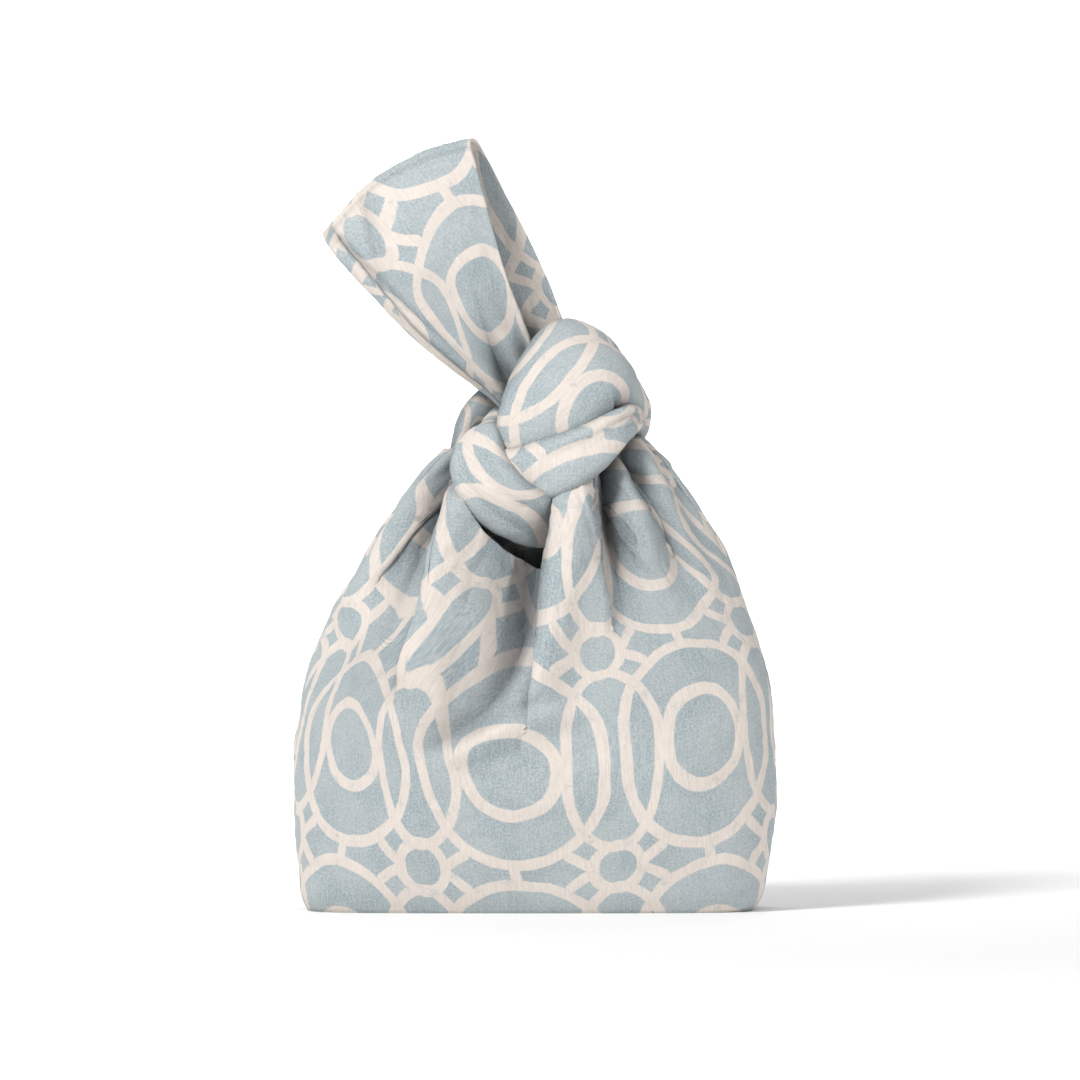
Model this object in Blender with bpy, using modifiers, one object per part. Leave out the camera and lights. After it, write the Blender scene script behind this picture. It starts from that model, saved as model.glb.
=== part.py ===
"""A knotted cloth bag that stands on its flat base, with a wide handle loop.

The front and back panels are sheets of doubled cloth, drawn in by folds to the
knot. The short strap is the ring of the knot. The long strap goes up through
that ring, round it once, and leaves as the handle loop.

Tables are in millimetres, with one row for each section, fold or turn.
x runs to the right, y to the back and z up.
"""

import math
from collections import namedtuple

import bmesh
import bpy
import numpy as np
from mathutils import Vector

MM = 0.001
CLOTH = 2.0
STRAP_CLOTH = 3.0
TRIM = 0.45
SEAM_GAP = 0.4
SEAM_Y = -9.0
PAST = 1.5
WELD = 0.05

PANEL_COLUMNS = 56
PANEL_ROWS = 21
BASE_CORNERS = 34
SHORT_STEPS = 40
LONG_STEPS = 60
STRAP_SIDES = 14
LOOP_STEPS = 26
LOOP_COLUMNS = 10

# How far up the folds of a panel grow from flat, and how close to a side seam they end.
FOLDS_GROW = 30
FOLDS_END = 12

# The top edge of a panel goes under the knot: from this height on, over this much of
# the cloth below the edge, this far in, and with this share of its folds pressed flat.
TUCK_FROM = 246
TUCK_BLEND = 10
TUCK_LONG = 28
TUCK_IN = 9
TUCK_FLAT = 0.7

# A strap's section is a little squarer than an ellipse, and its ends are round over
# this share of their steps.
STRAP_SQUARE = 0.9
STRAP_END = 2.2

# Pleats of the handle loop where it leaves the knot: how deep, how many, and over
# which share of the front and the back layer.
PLEAT_DEPTH = 5.0
PLEAT_COUNT = 1.1
PLEAT_FRONT = 0.30
PLEAT_BACK = 0.26

BLUE = (0.40, 0.50, 0.54, 1.0)

# Outline of the walls at each height: the side seams, the depth of the front and
# the back, and how square the section is (2 is an ellipse).
Section = namedtuple("Section", "z left right front back square")
WALL = (
    Section(0, -135.5, 129.5, 52, 52, 4.6),
    Section(22, -137.5, 134.5, 60, 61, 3.6),
    Section(57, -140.0, 139.5, 67, 68, 2.8),
    Section(86, -140.0, 140.0, 69, 69.5, 2.5),
    Section(118, -137.0, 137.5, 68, 67, 2.3),
    Section(145, -130.5, 132.5, 65, 63, 2.2),
    Section(171, -119.5, 125.0, 60, 58, 2.1),
    Section(197, -105.0, 115.5, 54, 52, 2.1),
    Section(223, -89.0, 102.0, 46, 45, 2.1),
    Section(250, -69.0, 83.5, 37, 37, 2.1),
    Section(261, -60.0, 77.0, 32, 33, 2.1),
    Section(270, -49.5, 66.0, 28, 30, 2.1),
    Section(278, -38.0, 57.0, 24, 26, 2.1),
)

# Folds and dents of a panel, each along a curve (0 is the start, 1 the pull, 2 the
# end). rise is how far it stands out, head the share of that at the start, and
# left and right are its widths on either side.
Fold = namedtuple("Fold", "name x0 z0 x1 z1 x2 z2 rise head left right spread")
FRONT_FOLDS = (
    Fold("left_side", -54, 264, -86, 224, -116, 158, 6, 1, 6, 7, 1.9),
    Fold("left_valley", -49, 259, -60, 222, -84, 150, -19, 1, 6, 4, 2.3),
    Fold("left_small", -57, 240, -69, 205, -92, 148, 6, 0, 4, 4, 1.7),
    Fold("left_leg", -45, 250, -49, 196, -84, 118, 17, 0.7, 5, 17, 1.7),
    Fold("cowl", 7, 204, 4, 118, -50, 105, -21, 1, 20, 5, 1.2),
    Fold("cowl_rim", -14, 107, -40, 100, -56, 82, 5, 0, 6, 8, 1.0),
    Fold("middle_column", 24, 250, 20, 180, -8, 104, 17, 0.9, 11, 9, 1.6),
    Fold("middle_valley", 37, 258, 38, 208, 48, 152, -22, 1, 5, 5, 2.2),
    Fold("right_roll", 45, 262, 58, 226, 78, 158, 15, 0.8, 8, 7, 2.0),
    Fold("right_valley", 54, 266, 71, 231, 98, 164, -14, 1, 4, 4, 2.3),
    Fold("right_small", 62, 262, 81, 230, 105, 168, 7, 0.8, 4, 4, 2.0),
    Fold("right_dip", 67, 268, 91, 238, 114, 176, -7, 1, 3, 3, 2.0),
    Fold("left_hollow", -36, 160, -48, 122, -57, 78, -5, 0, 10, 12, 1.2),
)
BACK_FOLDS = (
    Fold("left_leg", -34, 258, -44, 205, -76, 118, 14, 0.7, 10, 9, 1.8),
    Fold("left_valley", -44, 262, -62, 215, -90, 160, -13, 1, 5, 5, 2.0),
    Fold("left_side", -54, 262, -80, 224, -108, 160, 5, 1, 6, 6, 1.8),
    Fold("middle_valley", -4, 203, -8, 150, -22, 100, -13, 1, 14, 16, 1.4),
    Fold("right_leg", 36, 258, 46, 205, 68, 110, 15, 0.7, 10, 10, 1.8),
    Fold("right_valley", 54, 264, 68, 215, 92, 150, -15, 1, 5, 5, 2.0),
    Fold("right_side", 64, 262, 86, 220, 108, 160, 6, 1, 6, 6, 1.8),
    Fold("low_dent", 20, 120, 30, 100, 42, 66, -4, 0, 12, 12, 1.0),
)

# The top edge of each panel: two legs with the mouth between them.
Edge = namedtuple("Edge", "x z")
FRONT_EDGE = (
    Edge(-62, 262), Edge(-49, 269), Edge(-44, 262), Edge(-40, 246), Edge(-33, 226),
    Edge(-21, 211), Edge(-9, 203), Edge(2, 199), Edge(8, 200), Edge(12, 222), Edge(15, 260),
    Edge(60, 276),
)
BACK_EDGE = (
    Edge(-50, 268), Edge(-34, 262), Edge(-24, 240), Edge(-10, 221), Edge(6, 216),
    Edge(22, 223), Edge(32, 246), Edge(38, 262), Edge(60, 276),
)

# Turns of a strap round the middle of the knot: one edge of the band, the other
# edge and half its thickness.
KNOT_MIDDLE = (10, 0, 281)
Turn = namedtuple("Turn", "x0 y0 z0 x1 y1 z1 thick")
SHORT_STRAP = (
    Turn(-51.6, -27, 249.7, -42.9, -30, 232.2, 3),
    Turn(-44, -33, 260.7, -32.4, -37, 234.5, 4),
    Turn(-29.5, -38, 265.4, -17.8, -41, 236.8, 4),
    Turn(-16, -41, 266.6, -3.2, -43, 242.1, 5),
    Turn(-1, -43, 271.5, 11, -45, 239.5, 6),
    Turn(13, -44, 275.5, 22, -47, 243.2, 8),
    Turn(27, -42, 281.5, 34, -46, 251.4, 8),
    Turn(40, -35, 288, 44, -42, 261.3, 8),
    Turn(50, -25, 293, 52, -34, 271, 7),
    Turn(56, -12, 294, 57, -19, 277, 6),
    Turn(58, 3, 295, 58, 1, 277, 6),
    Turn(53, 22, 299, 53, 22, 279, 6),
    Turn(36, 36, 308, 36, 38, 277, 8),
    Turn(14.3, 40, 312, 14.3, 43, 275.2, 8),
    Turn(-7.9, 36, 312, -7.9, 40, 278.3, 8),
    Turn(-24.2, 29, 306.8, -19.5, 30, 284.7, 7),
    Turn(-35.9, 16, 299.8, -27.7, 18, 284.7, 8),
    Turn(-44, 7, 287, -35.9, 10, 278.8, 8),
    Turn(-48.1, 4, 271.8, -39.4, 7, 269.5, 7),
    Turn(-48.7, 5, 256.7, -39.4, 8, 255.5, 5),
)
LONG_STRAP = (
    Turn(-19, -24, 255.5, -9, -26, 250.8, 3),
    Turn(-22.2, -30, 268.3, -9, -33, 260.2, 5),
    Turn(-21.9, -31, 283.5, 2.6, -36, 266, 8),
    Turn(-17.8, -29, 300.4, 16, -38, 270.7, 11),
    Turn(-9, -21, 319, 31, -36, 275.5, 16),
    Turn(3, -12, 334, 40, -34, 284, 18),
    Turn(17, -5, 341, 47, -31, 289, 18),
    Turn(32, 0, 335, 54, -26, 290, 17),
    Turn(47, 3, 317, 58, -16, 286, 14),
    Turn(56, 5, 302, 58.5, -6, 281, 11),
    Turn(59.5, 9, 285, 55, 1, 272, 8),
    Turn(54, 18, 270, 43, 13, 271.8, 8),
    Turn(37, 34, 264.8, 36, 32, 289.3, 9),
    Turn(14.3, 40, 262.2, 14.3, 38, 291, 9),
    Turn(-7.9, 36, 270.2, -5.5, 35, 298, 9),
    Turn(-23, 22, 291.7, -14.9, 20, 304.5, 8),
    Turn(-32.4, 0, 288.2, -20.7, -4, 295.1, 8),
    Turn(-41.7, -20, 281.2, -20.7, -22, 288.7, 7),
    Turn(-47, -33, 270.7, -20.1, -36, 277.1, 7),
    Turn(-49, -40, 257.2, -17.2, -45, 263.7, 7),
    Turn(-45.8, -44, 242.7, -10.8, -50, 253.7, 7),
    Turn(-38.2, -44, 228.7, -2.5, -51, 245.5, 7),
    Turn(-26.5, -42, 215.8, 6, -47, 240, 6),
    Turn(-9, -36, 207.1, 12, -38, 237, 6),
    Turn(8, -26, 206, 19, -27, 232, 5),
    Turn(21, -15, 211, 26, -16, 226, 4),
)
CORE_HALF = (38, 30, 32)

# The handle loop, from the knot up the front layer, over the crest and down the
# back layer: the two edges of the band and how deep each lies, how far its middle
# bows up, and how far it bows to the front.
Rib = namedtuple("Rib", "xl zl yl xr zr yr up out")
LOOP = (
    Rib(-14, 285, -2, 6, 300, -6, 0, 0),
    Rib(-27, 298, -5, 0, 321, -9, 0, 1),
    Rib(-49, 314, -8, -8, 343, -13, 2, 3),
    Rib(-73, 334, -10, -17, 368, -16, 4, 5),
    Rib(-97, 359, -11, -26, 399, -17, 7, 6),
    Rib(-116, 380, -10, -34, 430, -15, 10, 5),
    Rib(-123.5, 392, -4, -38, 447, -6, 11, 0),
    Rib(-121, 392, 6, -33, 446, 6, 10, -2),
    Rib(-103, 372, 14, -17, 416, 16, 6, -3),
    Rib(-74, 348, 16, -2, 387, 18, 3, -3),
    Rib(-42, 328, 14, 11, 356, 15, 1, -2),
    Rib(-12, 312, 10, 18, 332, 11, 0, 0),
    Rib(0, 292, 8, 20, 308, 8, 0, 0),
)


def hermite(at, keys, values):
    """Smooth values at the given keys, with no overshoot between the rows of a table."""
    keys, values = np.asarray(keys, float), np.asarray(values, float)
    step = np.diff(keys)
    slope = np.diff(values) / step
    tangent = np.zeros(len(keys))
    tangent[0], tangent[-1] = slope[0], slope[-1]
    inner = (slope[:-1] * step[1:] + slope[1:] * step[:-1]) / (step[1:] + step[:-1])
    limit = 3 * np.minimum(abs(slope[:-1]), abs(slope[1:]))
    tangent[1:-1] = np.where(slope[:-1] * slope[1:] > 0, np.clip(inner, -limit, limit), 0)
    at = np.clip(np.asarray(at, float), keys[0], keys[-1])
    i = np.clip(np.searchsorted(keys, at) - 1, 0, len(step) - 1)
    t = (at - keys[i]) / step[i]
    blend = t * t * (3 - 2 * t)
    lead = t * (1 - t) * (1 - t) * tangent[i] * step[i]
    trail = t * t * (t - 1) * tangent[i + 1] * step[i]
    return values[i] * (1 - blend) + values[i + 1] * blend + lead + trail


def spline(rows, count):
    """Points on a smooth curve through the rows of a table, evenly spaced along it."""
    rows = np.array(rows, float)
    reach = np.linalg.norm(np.diff(rows[:, :3], axis=0), axis=1)
    keys = np.concatenate([[0], np.cumsum(reach)])
    at = np.linspace(0, keys[-1], count)
    before = np.vstack([2 * rows[0] - rows[1], rows[:-1]])
    after = np.vstack([rows[1:], 2 * rows[-1] - rows[-2]])
    keys_before = np.concatenate([[keys[0] - reach[0]], keys[:-1]])
    keys_after = np.concatenate([keys[1:], [keys[-1] + reach[-1]]])
    tangent = (after - before) / (keys_after - keys_before)[:, None]
    i = np.clip(np.searchsorted(keys, at) - 1, 0, len(reach) - 1)
    t = ((at - keys[i]) / reach[i])[:, None]
    h = reach[i][:, None]
    blend = t * t * (3 - 2 * t)
    lead = t * (1 - t) ** 2 * h * tangent[i]
    trail = t * t * (t - 1) * h * tangent[i + 1]
    return rows[i] * (1 - blend) + rows[i + 1] * blend + lead + trail


def section_at(z):
    """Each column of the wall table at the given heights."""
    keys = [row.z for row in WALL]
    return [hermite(z, keys, [row[i] for row in WALL]) for i in range(1, 6)]


def half_outlines(columns, front):
    """Points round one side of the seams at many heights, evenly spaced.

    Both ends run a little past the seam, for the cut there.
    """
    heights = np.linspace(0, WALL[-1].z, 90)
    fine = np.linspace(-math.pi, math.pi, 4001)
    xs, ys = [], []
    for left, right, fore, aft, square in zip(*section_at(heights)):
        x = np.sign(np.sin(fine)) * abs(np.sin(fine)) ** (2 / square) * (right - left) / 2
        y = -np.sign(np.cos(fine)) * abs(np.cos(fine)) ** (2 / square)
        y *= np.where(y < 0, fore, aft)
        if not front:
            x, y = -x, -y * np.where(y < 0, aft / fore, fore / aft)
        kept = y < SEAM_Y + PAST if front else y > SEAM_Y - PAST
        x, y = x[kept], y[kept]
        length = np.concatenate([[0], np.cumsum(np.hypot(np.diff(x), np.diff(y)))])
        even = np.linspace(0, length[-1], columns)
        xs.append((left + right) / 2 + np.interp(even, length, x))
        ys.append(np.interp(even, length, y))
    return heights, np.array(xs), np.array(ys)


def fold_relief(x, z, folds):
    """How far the folds push the cloth out at each point of a panel."""
    relief = np.zeros_like(x)
    t = np.linspace(0, 1, 25)
    for f in folds:
        cx = (1 - t) ** 2 * f.x0 + 2 * t * (1 - t) * f.x1 + t * t * f.x2
        cz = (1 - t) ** 2 * f.z0 + 2 * t * (1 - t) * f.z1 + t * t * f.z2
        best = np.full(x.shape, 1e9)
        along = np.zeros_like(x)
        side = np.zeros_like(x)
        for k in range(len(t) - 1):
            dx, dz = cx[k + 1] - cx[k], cz[k + 1] - cz[k]
            low = -9.0 if k == 0 else 0.0
            share = np.clip(((x - cx[k]) * dx + (z - cz[k]) * dz) / (dx * dx + dz * dz), low, 1)
            px, pz = x - cx[k] - share * dx, z - cz[k] - share * dz
            away = np.hypot(px, pz)
            near = away < best
            best = np.where(near, away, best)
            along = np.where(near, np.clip(t[k] + share * (t[k + 1] - t[k]), 0, 1), along)
            side = np.where(near, dx * pz - dz * px, side)
        width = np.where(side > 0, f.right, f.left) * (1 + (f.spread - 1) * along)
        rise = f.head + (1 - f.head) * np.sin(np.minimum(along * 2, 1) * math.pi / 2)
        fade = np.cos(along * math.pi / 2) ** 1.2
        sharp = 2.0 if f.rise > 0 else 1.5
        relief += f.rise * rise * fade * np.exp(-((best / width) ** sharp))
    return relief


def panel_points(front, columns, rows):
    """Grid of points of a panel, row by row from the floor to its top edge."""
    folds, edge = (FRONT_FOLDS, FRONT_EDGE) if front else (BACK_FOLDS, BACK_EDGE)
    heights, xs, ys = half_outlines(columns, front)
    each = range(columns)
    top = np.full(columns, 262.0)
    for _ in range(8):
        x_top = np.array([np.interp(top[c], heights, xs[:, c]) for c in each])
        top = 0.5 * top + 0.5 * hermite(x_top, [e.x for e in edge], [e.z for e in edge])
    z = (np.linspace(0, 1, rows) ** 0.95)[:, None] * top[None, :]
    x = np.stack([np.interp(z[:, c], heights, xs[:, c]) for c in each], axis=1)
    y = np.stack([np.interp(z[:, c], heights, ys[:, c]) for c in each], axis=1)
    along_x, along_y = np.gradient(x, axis=1), np.gradient(y, axis=1)
    size = np.hypot(along_x, along_y) * np.sign(along_x.sum())
    if not front:
        size = -size
    apart = np.cumsum(np.hypot(along_x, along_y), axis=1)
    apart = np.minimum(apart - apart[:, :1], apart[:, -1:] - apart) - PAST
    calm = np.clip(apart / FOLDS_END, 0, 1)
    tucked = np.clip((top - TUCK_FROM) / TUCK_BLEND, 0, 1)
    tucked = tucked * np.clip(1 - (top - z) / TUCK_LONG, 0, 1)
    relief = fold_relief(x, z, folds) * np.minimum(1, z / FOLDS_GROW)
    relief *= calm * calm * (3 - 2 * calm) * (1 - TUCK_FLAT * tucked)
    points = np.stack([x + relief * along_y / size, y - relief * along_x / size, z], axis=-1)
    points[..., 1] += tucked * (TUCK_IN if front else -TUCK_IN)
    return points


def strap_points(rows, steps, sides, grow=0.0):
    """Rings of points of a band that winds round the middle of the knot."""
    one, other = np.array([r[:3] for r in rows]), np.array([r[3:6] for r in rows])
    thick = np.array([[r.thick] for r in rows])
    line = spline(np.hstack([(one + other) / 2, (one - other) / 2, thick]), steps)
    place, half = line[:, :3], line[:, 3:6]
    ahead = np.gradient(place, axis=0)
    ahead /= np.linalg.norm(ahead, axis=1)[:, None]
    half = half - (half * ahead).sum(1)[:, None] * ahead * 0.5
    wide = np.linalg.norm(half, axis=1)
    across = half / wide[:, None]
    out = np.cross(ahead, across)
    out /= np.linalg.norm(out, axis=1)[:, None]
    if (out * (place - np.array(KNOT_MIDDLE))).sum() < 0:
        out = -out
    end = np.linspace(0, 1, steps)
    reach = np.minimum(end, 1 - end) * steps / STRAP_END
    close = np.where(reach >= 1, 1, np.sqrt(np.maximum(0, 1 - (1 - reach) ** 2)))
    turn = np.linspace(0, 2 * math.pi, sides + 1)
    a = np.sign(np.cos(turn)) * abs(np.cos(turn)) ** STRAP_SQUARE
    b = np.sign(np.sin(turn)) * abs(np.sin(turn)) ** STRAP_SQUARE
    ring = (
        across[:, None] * ((wide + grow) * close)[:, None, None] * a[None, :, None]
        + out[:, None] * ((line[:, 6] + grow) * close)[:, None, None] * b[None, :, None]
    )
    return place[:, None] + ring


def loop_points(steps, columns):
    """Grid of points of the handle loop's middle surface."""
    rows = []
    for r in LOOP:
        rows.append(((r.xl + r.xr) / 2, (r.yl + r.yr) / 2, (r.zl + r.zr) / 2,
                     (r.xr - r.xl) / 2, (r.yr - r.yl) / 2, (r.zr - r.zl) / 2, r.up, r.out))
    line = spline(rows, steps)
    across = np.linspace(-1, 1, columns)
    points = line[:, None, :3] + across[None, :, None] * line[:, None, 3:6]
    bow = 1 - across[None, :] ** 2
    wide = np.hypot(line[:, 3], line[:, 5])
    points[..., 0] -= bow * (line[:, 6] * line[:, 5] / wide)[:, None]
    points[..., 2] += bow * (line[:, 6] * line[:, 3] / wide)[:, None]
    points[..., 1] -= bow * line[:, 7][:, None]
    end = np.linspace(0, 1, steps)
    near_knot = np.maximum(1 - end / PLEAT_FRONT, 0) ** 0.7
    near_knot += np.maximum(1 - (1 - end) / PLEAT_BACK, 0) ** 0.7
    ripple = np.cos(across[None, :] * PLEAT_COUNT * 2 * math.pi + 0.6)
    points[..., 1] += PLEAT_DEPTH * near_knot[:, None] * ripple
    return points


def grid_object(name, points, wrap=False):
    """A grid primitive whose points take the places given. wrap closes it to a tube."""
    rows, columns = points.shape[:2]
    mesh = bpy.data.meshes.new(name)
    shape = bmesh.new()
    bmesh.ops.create_grid(shape, x_segments=columns - 1, y_segments=rows - 1, size=1)
    places = points.reshape(-1, 3) * MM
    for vertex, place in zip(shape.verts, places):
        vertex.co = place
    if wrap:
        bmesh.ops.remove_doubles(shape, verts=shape.verts, dist=1e-6)
    bmesh.ops.recalc_face_normals(shape, faces=shape.faces)
    shape.to_mesh(mesh)
    shape.free()
    mesh.shade_smooth()
    made = bpy.data.objects.new(name, mesh)
    return made


def material(name, colour, roughness):
    made = bpy.data.materials.new(name)
    made.use_nodes = True
    surface = made.node_tree.nodes["Principled BSDF"]
    surface.inputs["Base Color"].default_value = colour
    surface.inputs["Roughness"].default_value = roughness
    return made


def thicken(obj, thickness, offset):
    wall = obj.modifiers.new("cloth", "SOLIDIFY")
    wall.thickness = thickness * MM
    wall.offset = offset
    wall.use_even_offset = False


def applied(obj):
    """The object with its modifiers made part of its mesh."""
    graph = bpy.context.evaluated_depsgraph_get()
    mesh = bpy.data.meshes.new_from_object(obj.evaluated_get(graph))
    obj.modifiers.clear()
    obj.data = mesh
    return obj


def boolean(obj, other, operation):
    cut = obj.modifiers.new(operation.lower() + "_" + other.name, "BOOLEAN")
    cut.operation = operation
    cut.object = other
    cut.solver = "EXACT"
    cut.use_self = obj.name == "long_strap"


def helper(obj, helpers):
    helpers.objects.link(obj)
    obj.hide_render = True
    obj.display_type = "WIRE"
    return obj


def core(name, grow):
    mesh = bpy.data.meshes.new(name)
    shape = bmesh.new()
    bmesh.ops.create_uvsphere(shape, u_segments=16, v_segments=10, radius=1)
    half = [(side + grow) * MM for side in CORE_HALF]
    bmesh.ops.scale(shape, vec=half, verts=shape.verts)
    bmesh.ops.translate(shape, vec=[v * MM for v in KNOT_MIDDLE], verts=shape.verts)
    shape.to_mesh(mesh)
    shape.free()
    return bpy.data.objects.new(name, mesh)


def facing_out(obj, outside):
    """Turns an open sheet's faces so that its first side looks along outside."""
    mesh = obj.data
    total = Vector((0, 0, 0))
    for face in mesh.polygons:
        total += face.normal * face.area
    if total.dot(Vector(outside)) < 0:
        mesh.flip_normals()


def base_half(front):
    """Half of the boxed base, its edge in the middle of the walls."""
    _, xs, ys = half_outlines(BASE_CORNERS, front)
    x, y = xs[0], ys[0]
    middle = (x[0] + x[-1]) / 2
    x = middle + (x - middle) * (1 - CLOTH / 2 / max(x - middle))
    y = y * (1 - CLOTH / 2 / max(abs(y)))
    y[0] = y[-1] = SEAM_Y + PAST if front else SEAM_Y - PAST
    mesh = bpy.data.meshes.new("base")
    shape = bmesh.new()
    corners = [shape.verts.new((px * MM, py * MM, 0)) for px, py in zip(x, y)]
    floor = shape.faces.new(corners)
    lifted = bmesh.ops.extrude_face_region(shape, geom=[floor])
    raised = [v for v in lifted["geom"] if isinstance(v, bmesh.types.BMVert)]
    bmesh.ops.translate(shape, vec=(0, 0, CLOTH * MM), verts=raised)
    bmesh.ops.recalc_face_normals(shape, faces=shape.faces)
    shape.to_mesh(mesh)
    shape.free()
    return bpy.data.objects.new("base_front" if front else "base_back", mesh)


def half_space(front):
    """A box over all of one side of the seams, less half the gap in them."""
    mesh = bpy.data.meshes.new("side")
    shape = bmesh.new()
    bmesh.ops.create_cube(shape, size=1)
    bmesh.ops.scale(shape, vec=(0.4, 0.2, 0.5), verts=shape.verts)
    middle = 100 + SEAM_GAP / 2
    place = (0, (SEAM_Y - middle if front else SEAM_Y + middle) * MM, 0.2)
    bmesh.ops.translate(shape, vec=place, verts=shape.verts)
    shape.to_mesh(mesh)
    shape.free()
    return bpy.data.objects.new("front_side" if front else "back_side", mesh)


def largest_body(obj):
    """Keeps the largest body of an object once its modifiers are applied."""
    applied(obj)
    shape = bmesh.new()
    shape.from_mesh(obj.data)
    bmesh.ops.remove_doubles(shape, verts=shape.verts, dist=WELD * MM)
    left, bodies = set(shape.verts), []
    while left:
        body, stack = set(), [next(iter(left))]
        while stack:
            vertex = stack.pop()
            if vertex not in body:
                body.add(vertex)
                stack += [e.other_vert(vertex) for e in vertex.link_edges]
        left -= body
        bodies.append(body)
    bodies.sort(key=len)
    loose = [v for body in bodies[:-1] for v in body]
    bmesh.ops.delete(shape, geom=loose, context="VERTS")
    shape.to_mesh(obj.data)
    shape.free()


def main():
    for obj in list(bpy.data.objects):
        bpy.data.objects.remove(obj)
    bag = bpy.data.collections.new("knot_bag")
    helpers = bpy.data.collections.new("cutters")
    for collection in (bag, helpers):
        bpy.context.scene.collection.children.link(collection)
    cloth = material("printed_cloth", BLUE, 0.9)

    short = grid_object("short_strap", strap_points(SHORT_STRAP, SHORT_STEPS, STRAP_SIDES), True)
    long = grid_object("long_strap", strap_points(LONG_STRAP, LONG_STEPS, STRAP_SIDES), True)
    loop = helper(grid_object("loop", loop_points(LOOP_STEPS, LOOP_COLUMNS)), helpers)
    thicken(loop, STRAP_CLOTH, 0)
    middle = helper(core("middle", 0), helpers)
    short_room = helper(
        grid_object("short_room", strap_points(SHORT_STRAP, SHORT_STEPS, STRAP_SIDES, TRIM), True), helpers)
    for obj in (short, long):
        bag.objects.link(obj)
        obj.data.materials.append(cloth)
    boolean(long, loop, "UNION")
    boolean(long, middle, "UNION")
    boolean(long, short_room, "DIFFERENCE")

    long_room = helper(
        grid_object("long_room", strap_points(LONG_STRAP, LONG_STEPS, STRAP_SIDES, TRIM), True), helpers)
    loop_room = helper(grid_object("loop_room", loop_points(LOOP_STEPS, LOOP_COLUMNS)), helpers)
    thicken(loop_room, STRAP_CLOTH + 2 * TRIM, 0)
    middle_room = helper(core("middle_room", TRIM), helpers)
    for name, front in (("front_panel", True), ("back_panel", False)):
        panel = grid_object(name, panel_points(front, PANEL_COLUMNS, PANEL_ROWS))
        facing_out(panel, (0, -1 if front else 1, 0))
        bag.objects.link(panel)
        thicken(panel, CLOTH, -1)
        boolean(panel, helper(base_half(front), helpers), "UNION")
        boolean(panel, helper(half_space(front), helpers), "INTERSECT")
        for room in (short_room, long_room, middle_room, loop_room):
            boolean(panel, room, "DIFFERENCE")
        panel.data.materials.append(cloth)
        largest_body(panel)
    largest_body(long)


main()
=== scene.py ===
"""The cloth of a small knotted bag: its printed linen, folds, knot, handle loop and sewing.

Tables are in millimetres, with one row for each section, fold, turn or place.
x runs to the right, y to the back and z up.
"""

import math
from collections import namedtuple

import bmesh
import bpy
import numpy as np
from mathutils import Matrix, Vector, noise


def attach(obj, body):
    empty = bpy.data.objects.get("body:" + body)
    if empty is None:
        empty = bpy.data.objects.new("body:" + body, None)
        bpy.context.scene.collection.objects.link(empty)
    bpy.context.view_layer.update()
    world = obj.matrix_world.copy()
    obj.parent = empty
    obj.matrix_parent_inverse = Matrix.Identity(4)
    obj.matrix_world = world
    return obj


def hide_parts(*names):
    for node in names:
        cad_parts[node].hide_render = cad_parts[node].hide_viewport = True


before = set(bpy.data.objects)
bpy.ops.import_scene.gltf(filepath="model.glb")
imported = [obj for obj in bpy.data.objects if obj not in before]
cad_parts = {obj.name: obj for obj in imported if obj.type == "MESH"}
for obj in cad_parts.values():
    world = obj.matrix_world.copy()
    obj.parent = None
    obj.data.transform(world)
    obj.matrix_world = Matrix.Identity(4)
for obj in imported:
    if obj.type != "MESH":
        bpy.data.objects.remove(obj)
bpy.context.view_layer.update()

MM = 0.001

# How thick the cloth is, and the depth, in y, at which the side seams lie.
CLOTH = 1.8
STRAP_CLOTH = 2.2
SEAM_Y = -9.0

# How finely the sheets, their outlines and the folds' curves are divided.
PANEL_COLUMNS = 240
PANEL_ROWS = 140
PLEAT_COLUMNS = 17
BAND_SIDES = 64
SHORT_STEPS = 150
LONG_STEPS = 230
LOOP_STEPS = 200
LOOP_COLUMNS = 90
BASE_COLUMNS = 80
BASE_RINGS = 24
HEIGHT_STEPS = 120
OUTLINE_STEPS = 4001
CURVE_STEPS = 25

# The top edge of a panel is found in rounds from a first guess, and its rows lie a little
# closer together towards it.
EDGE_GUESS = 262.0
EDGE_ROUNDS = 12
ROWS_CLOSER = 0.95

# The top edge of a panel goes under the knot. Where the edge is higher than TUCK_TOP, the
# cloth turns in from a height that rises with x, over TUCK_LONG, and farther under the
# knot's middle, and there this share of its folds and dents is pressed flat.
TUCK_TOP = 225
TUCK_BLEND = 20
TUCK_START = 237
TUCK_LEAN = 0.5
TUCK_LEAN_FROM = 13
TUCK_LEAN_OVER = 50
TUCK_LONG = 18
TUCK_IN = 5
TUCK_MIDDLE = 11
TUCK_FLAT = 0.7
TUCK_SMOOTH = 0.8

# The tuck grows from nothing at the side seams and ends on the right shoulder. Shade is
# painted on the cloth under the knot, less so away from the knot's middle.
TUCK_SEAM = 25
TUCK_ENDS = 50
TUCK_ENDS_OVER = 12
KNOT_X = 24
KNOT_WIDE = 28
KNOT_SHADE = 0.4
KNOT_SHADE_BESIDE = 0.3

# The folds grow from flat over this height above the floor and end this close to a side
# seam, where a share of the small waves stays and the seam itself is drawn in. Then how
# dark the shade painted in the laps is, and how deep a valley is when its painted shade is full.
FOLDS_GROW = 30
FOLDS_END = 12
WAVES_AT_SEAM = 0.25
SEAM_DEEP = 1.1
SEAM_WIDE = 1.7
LAP_SHADE = 0.55
VALLEY_FULL = 21

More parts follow.
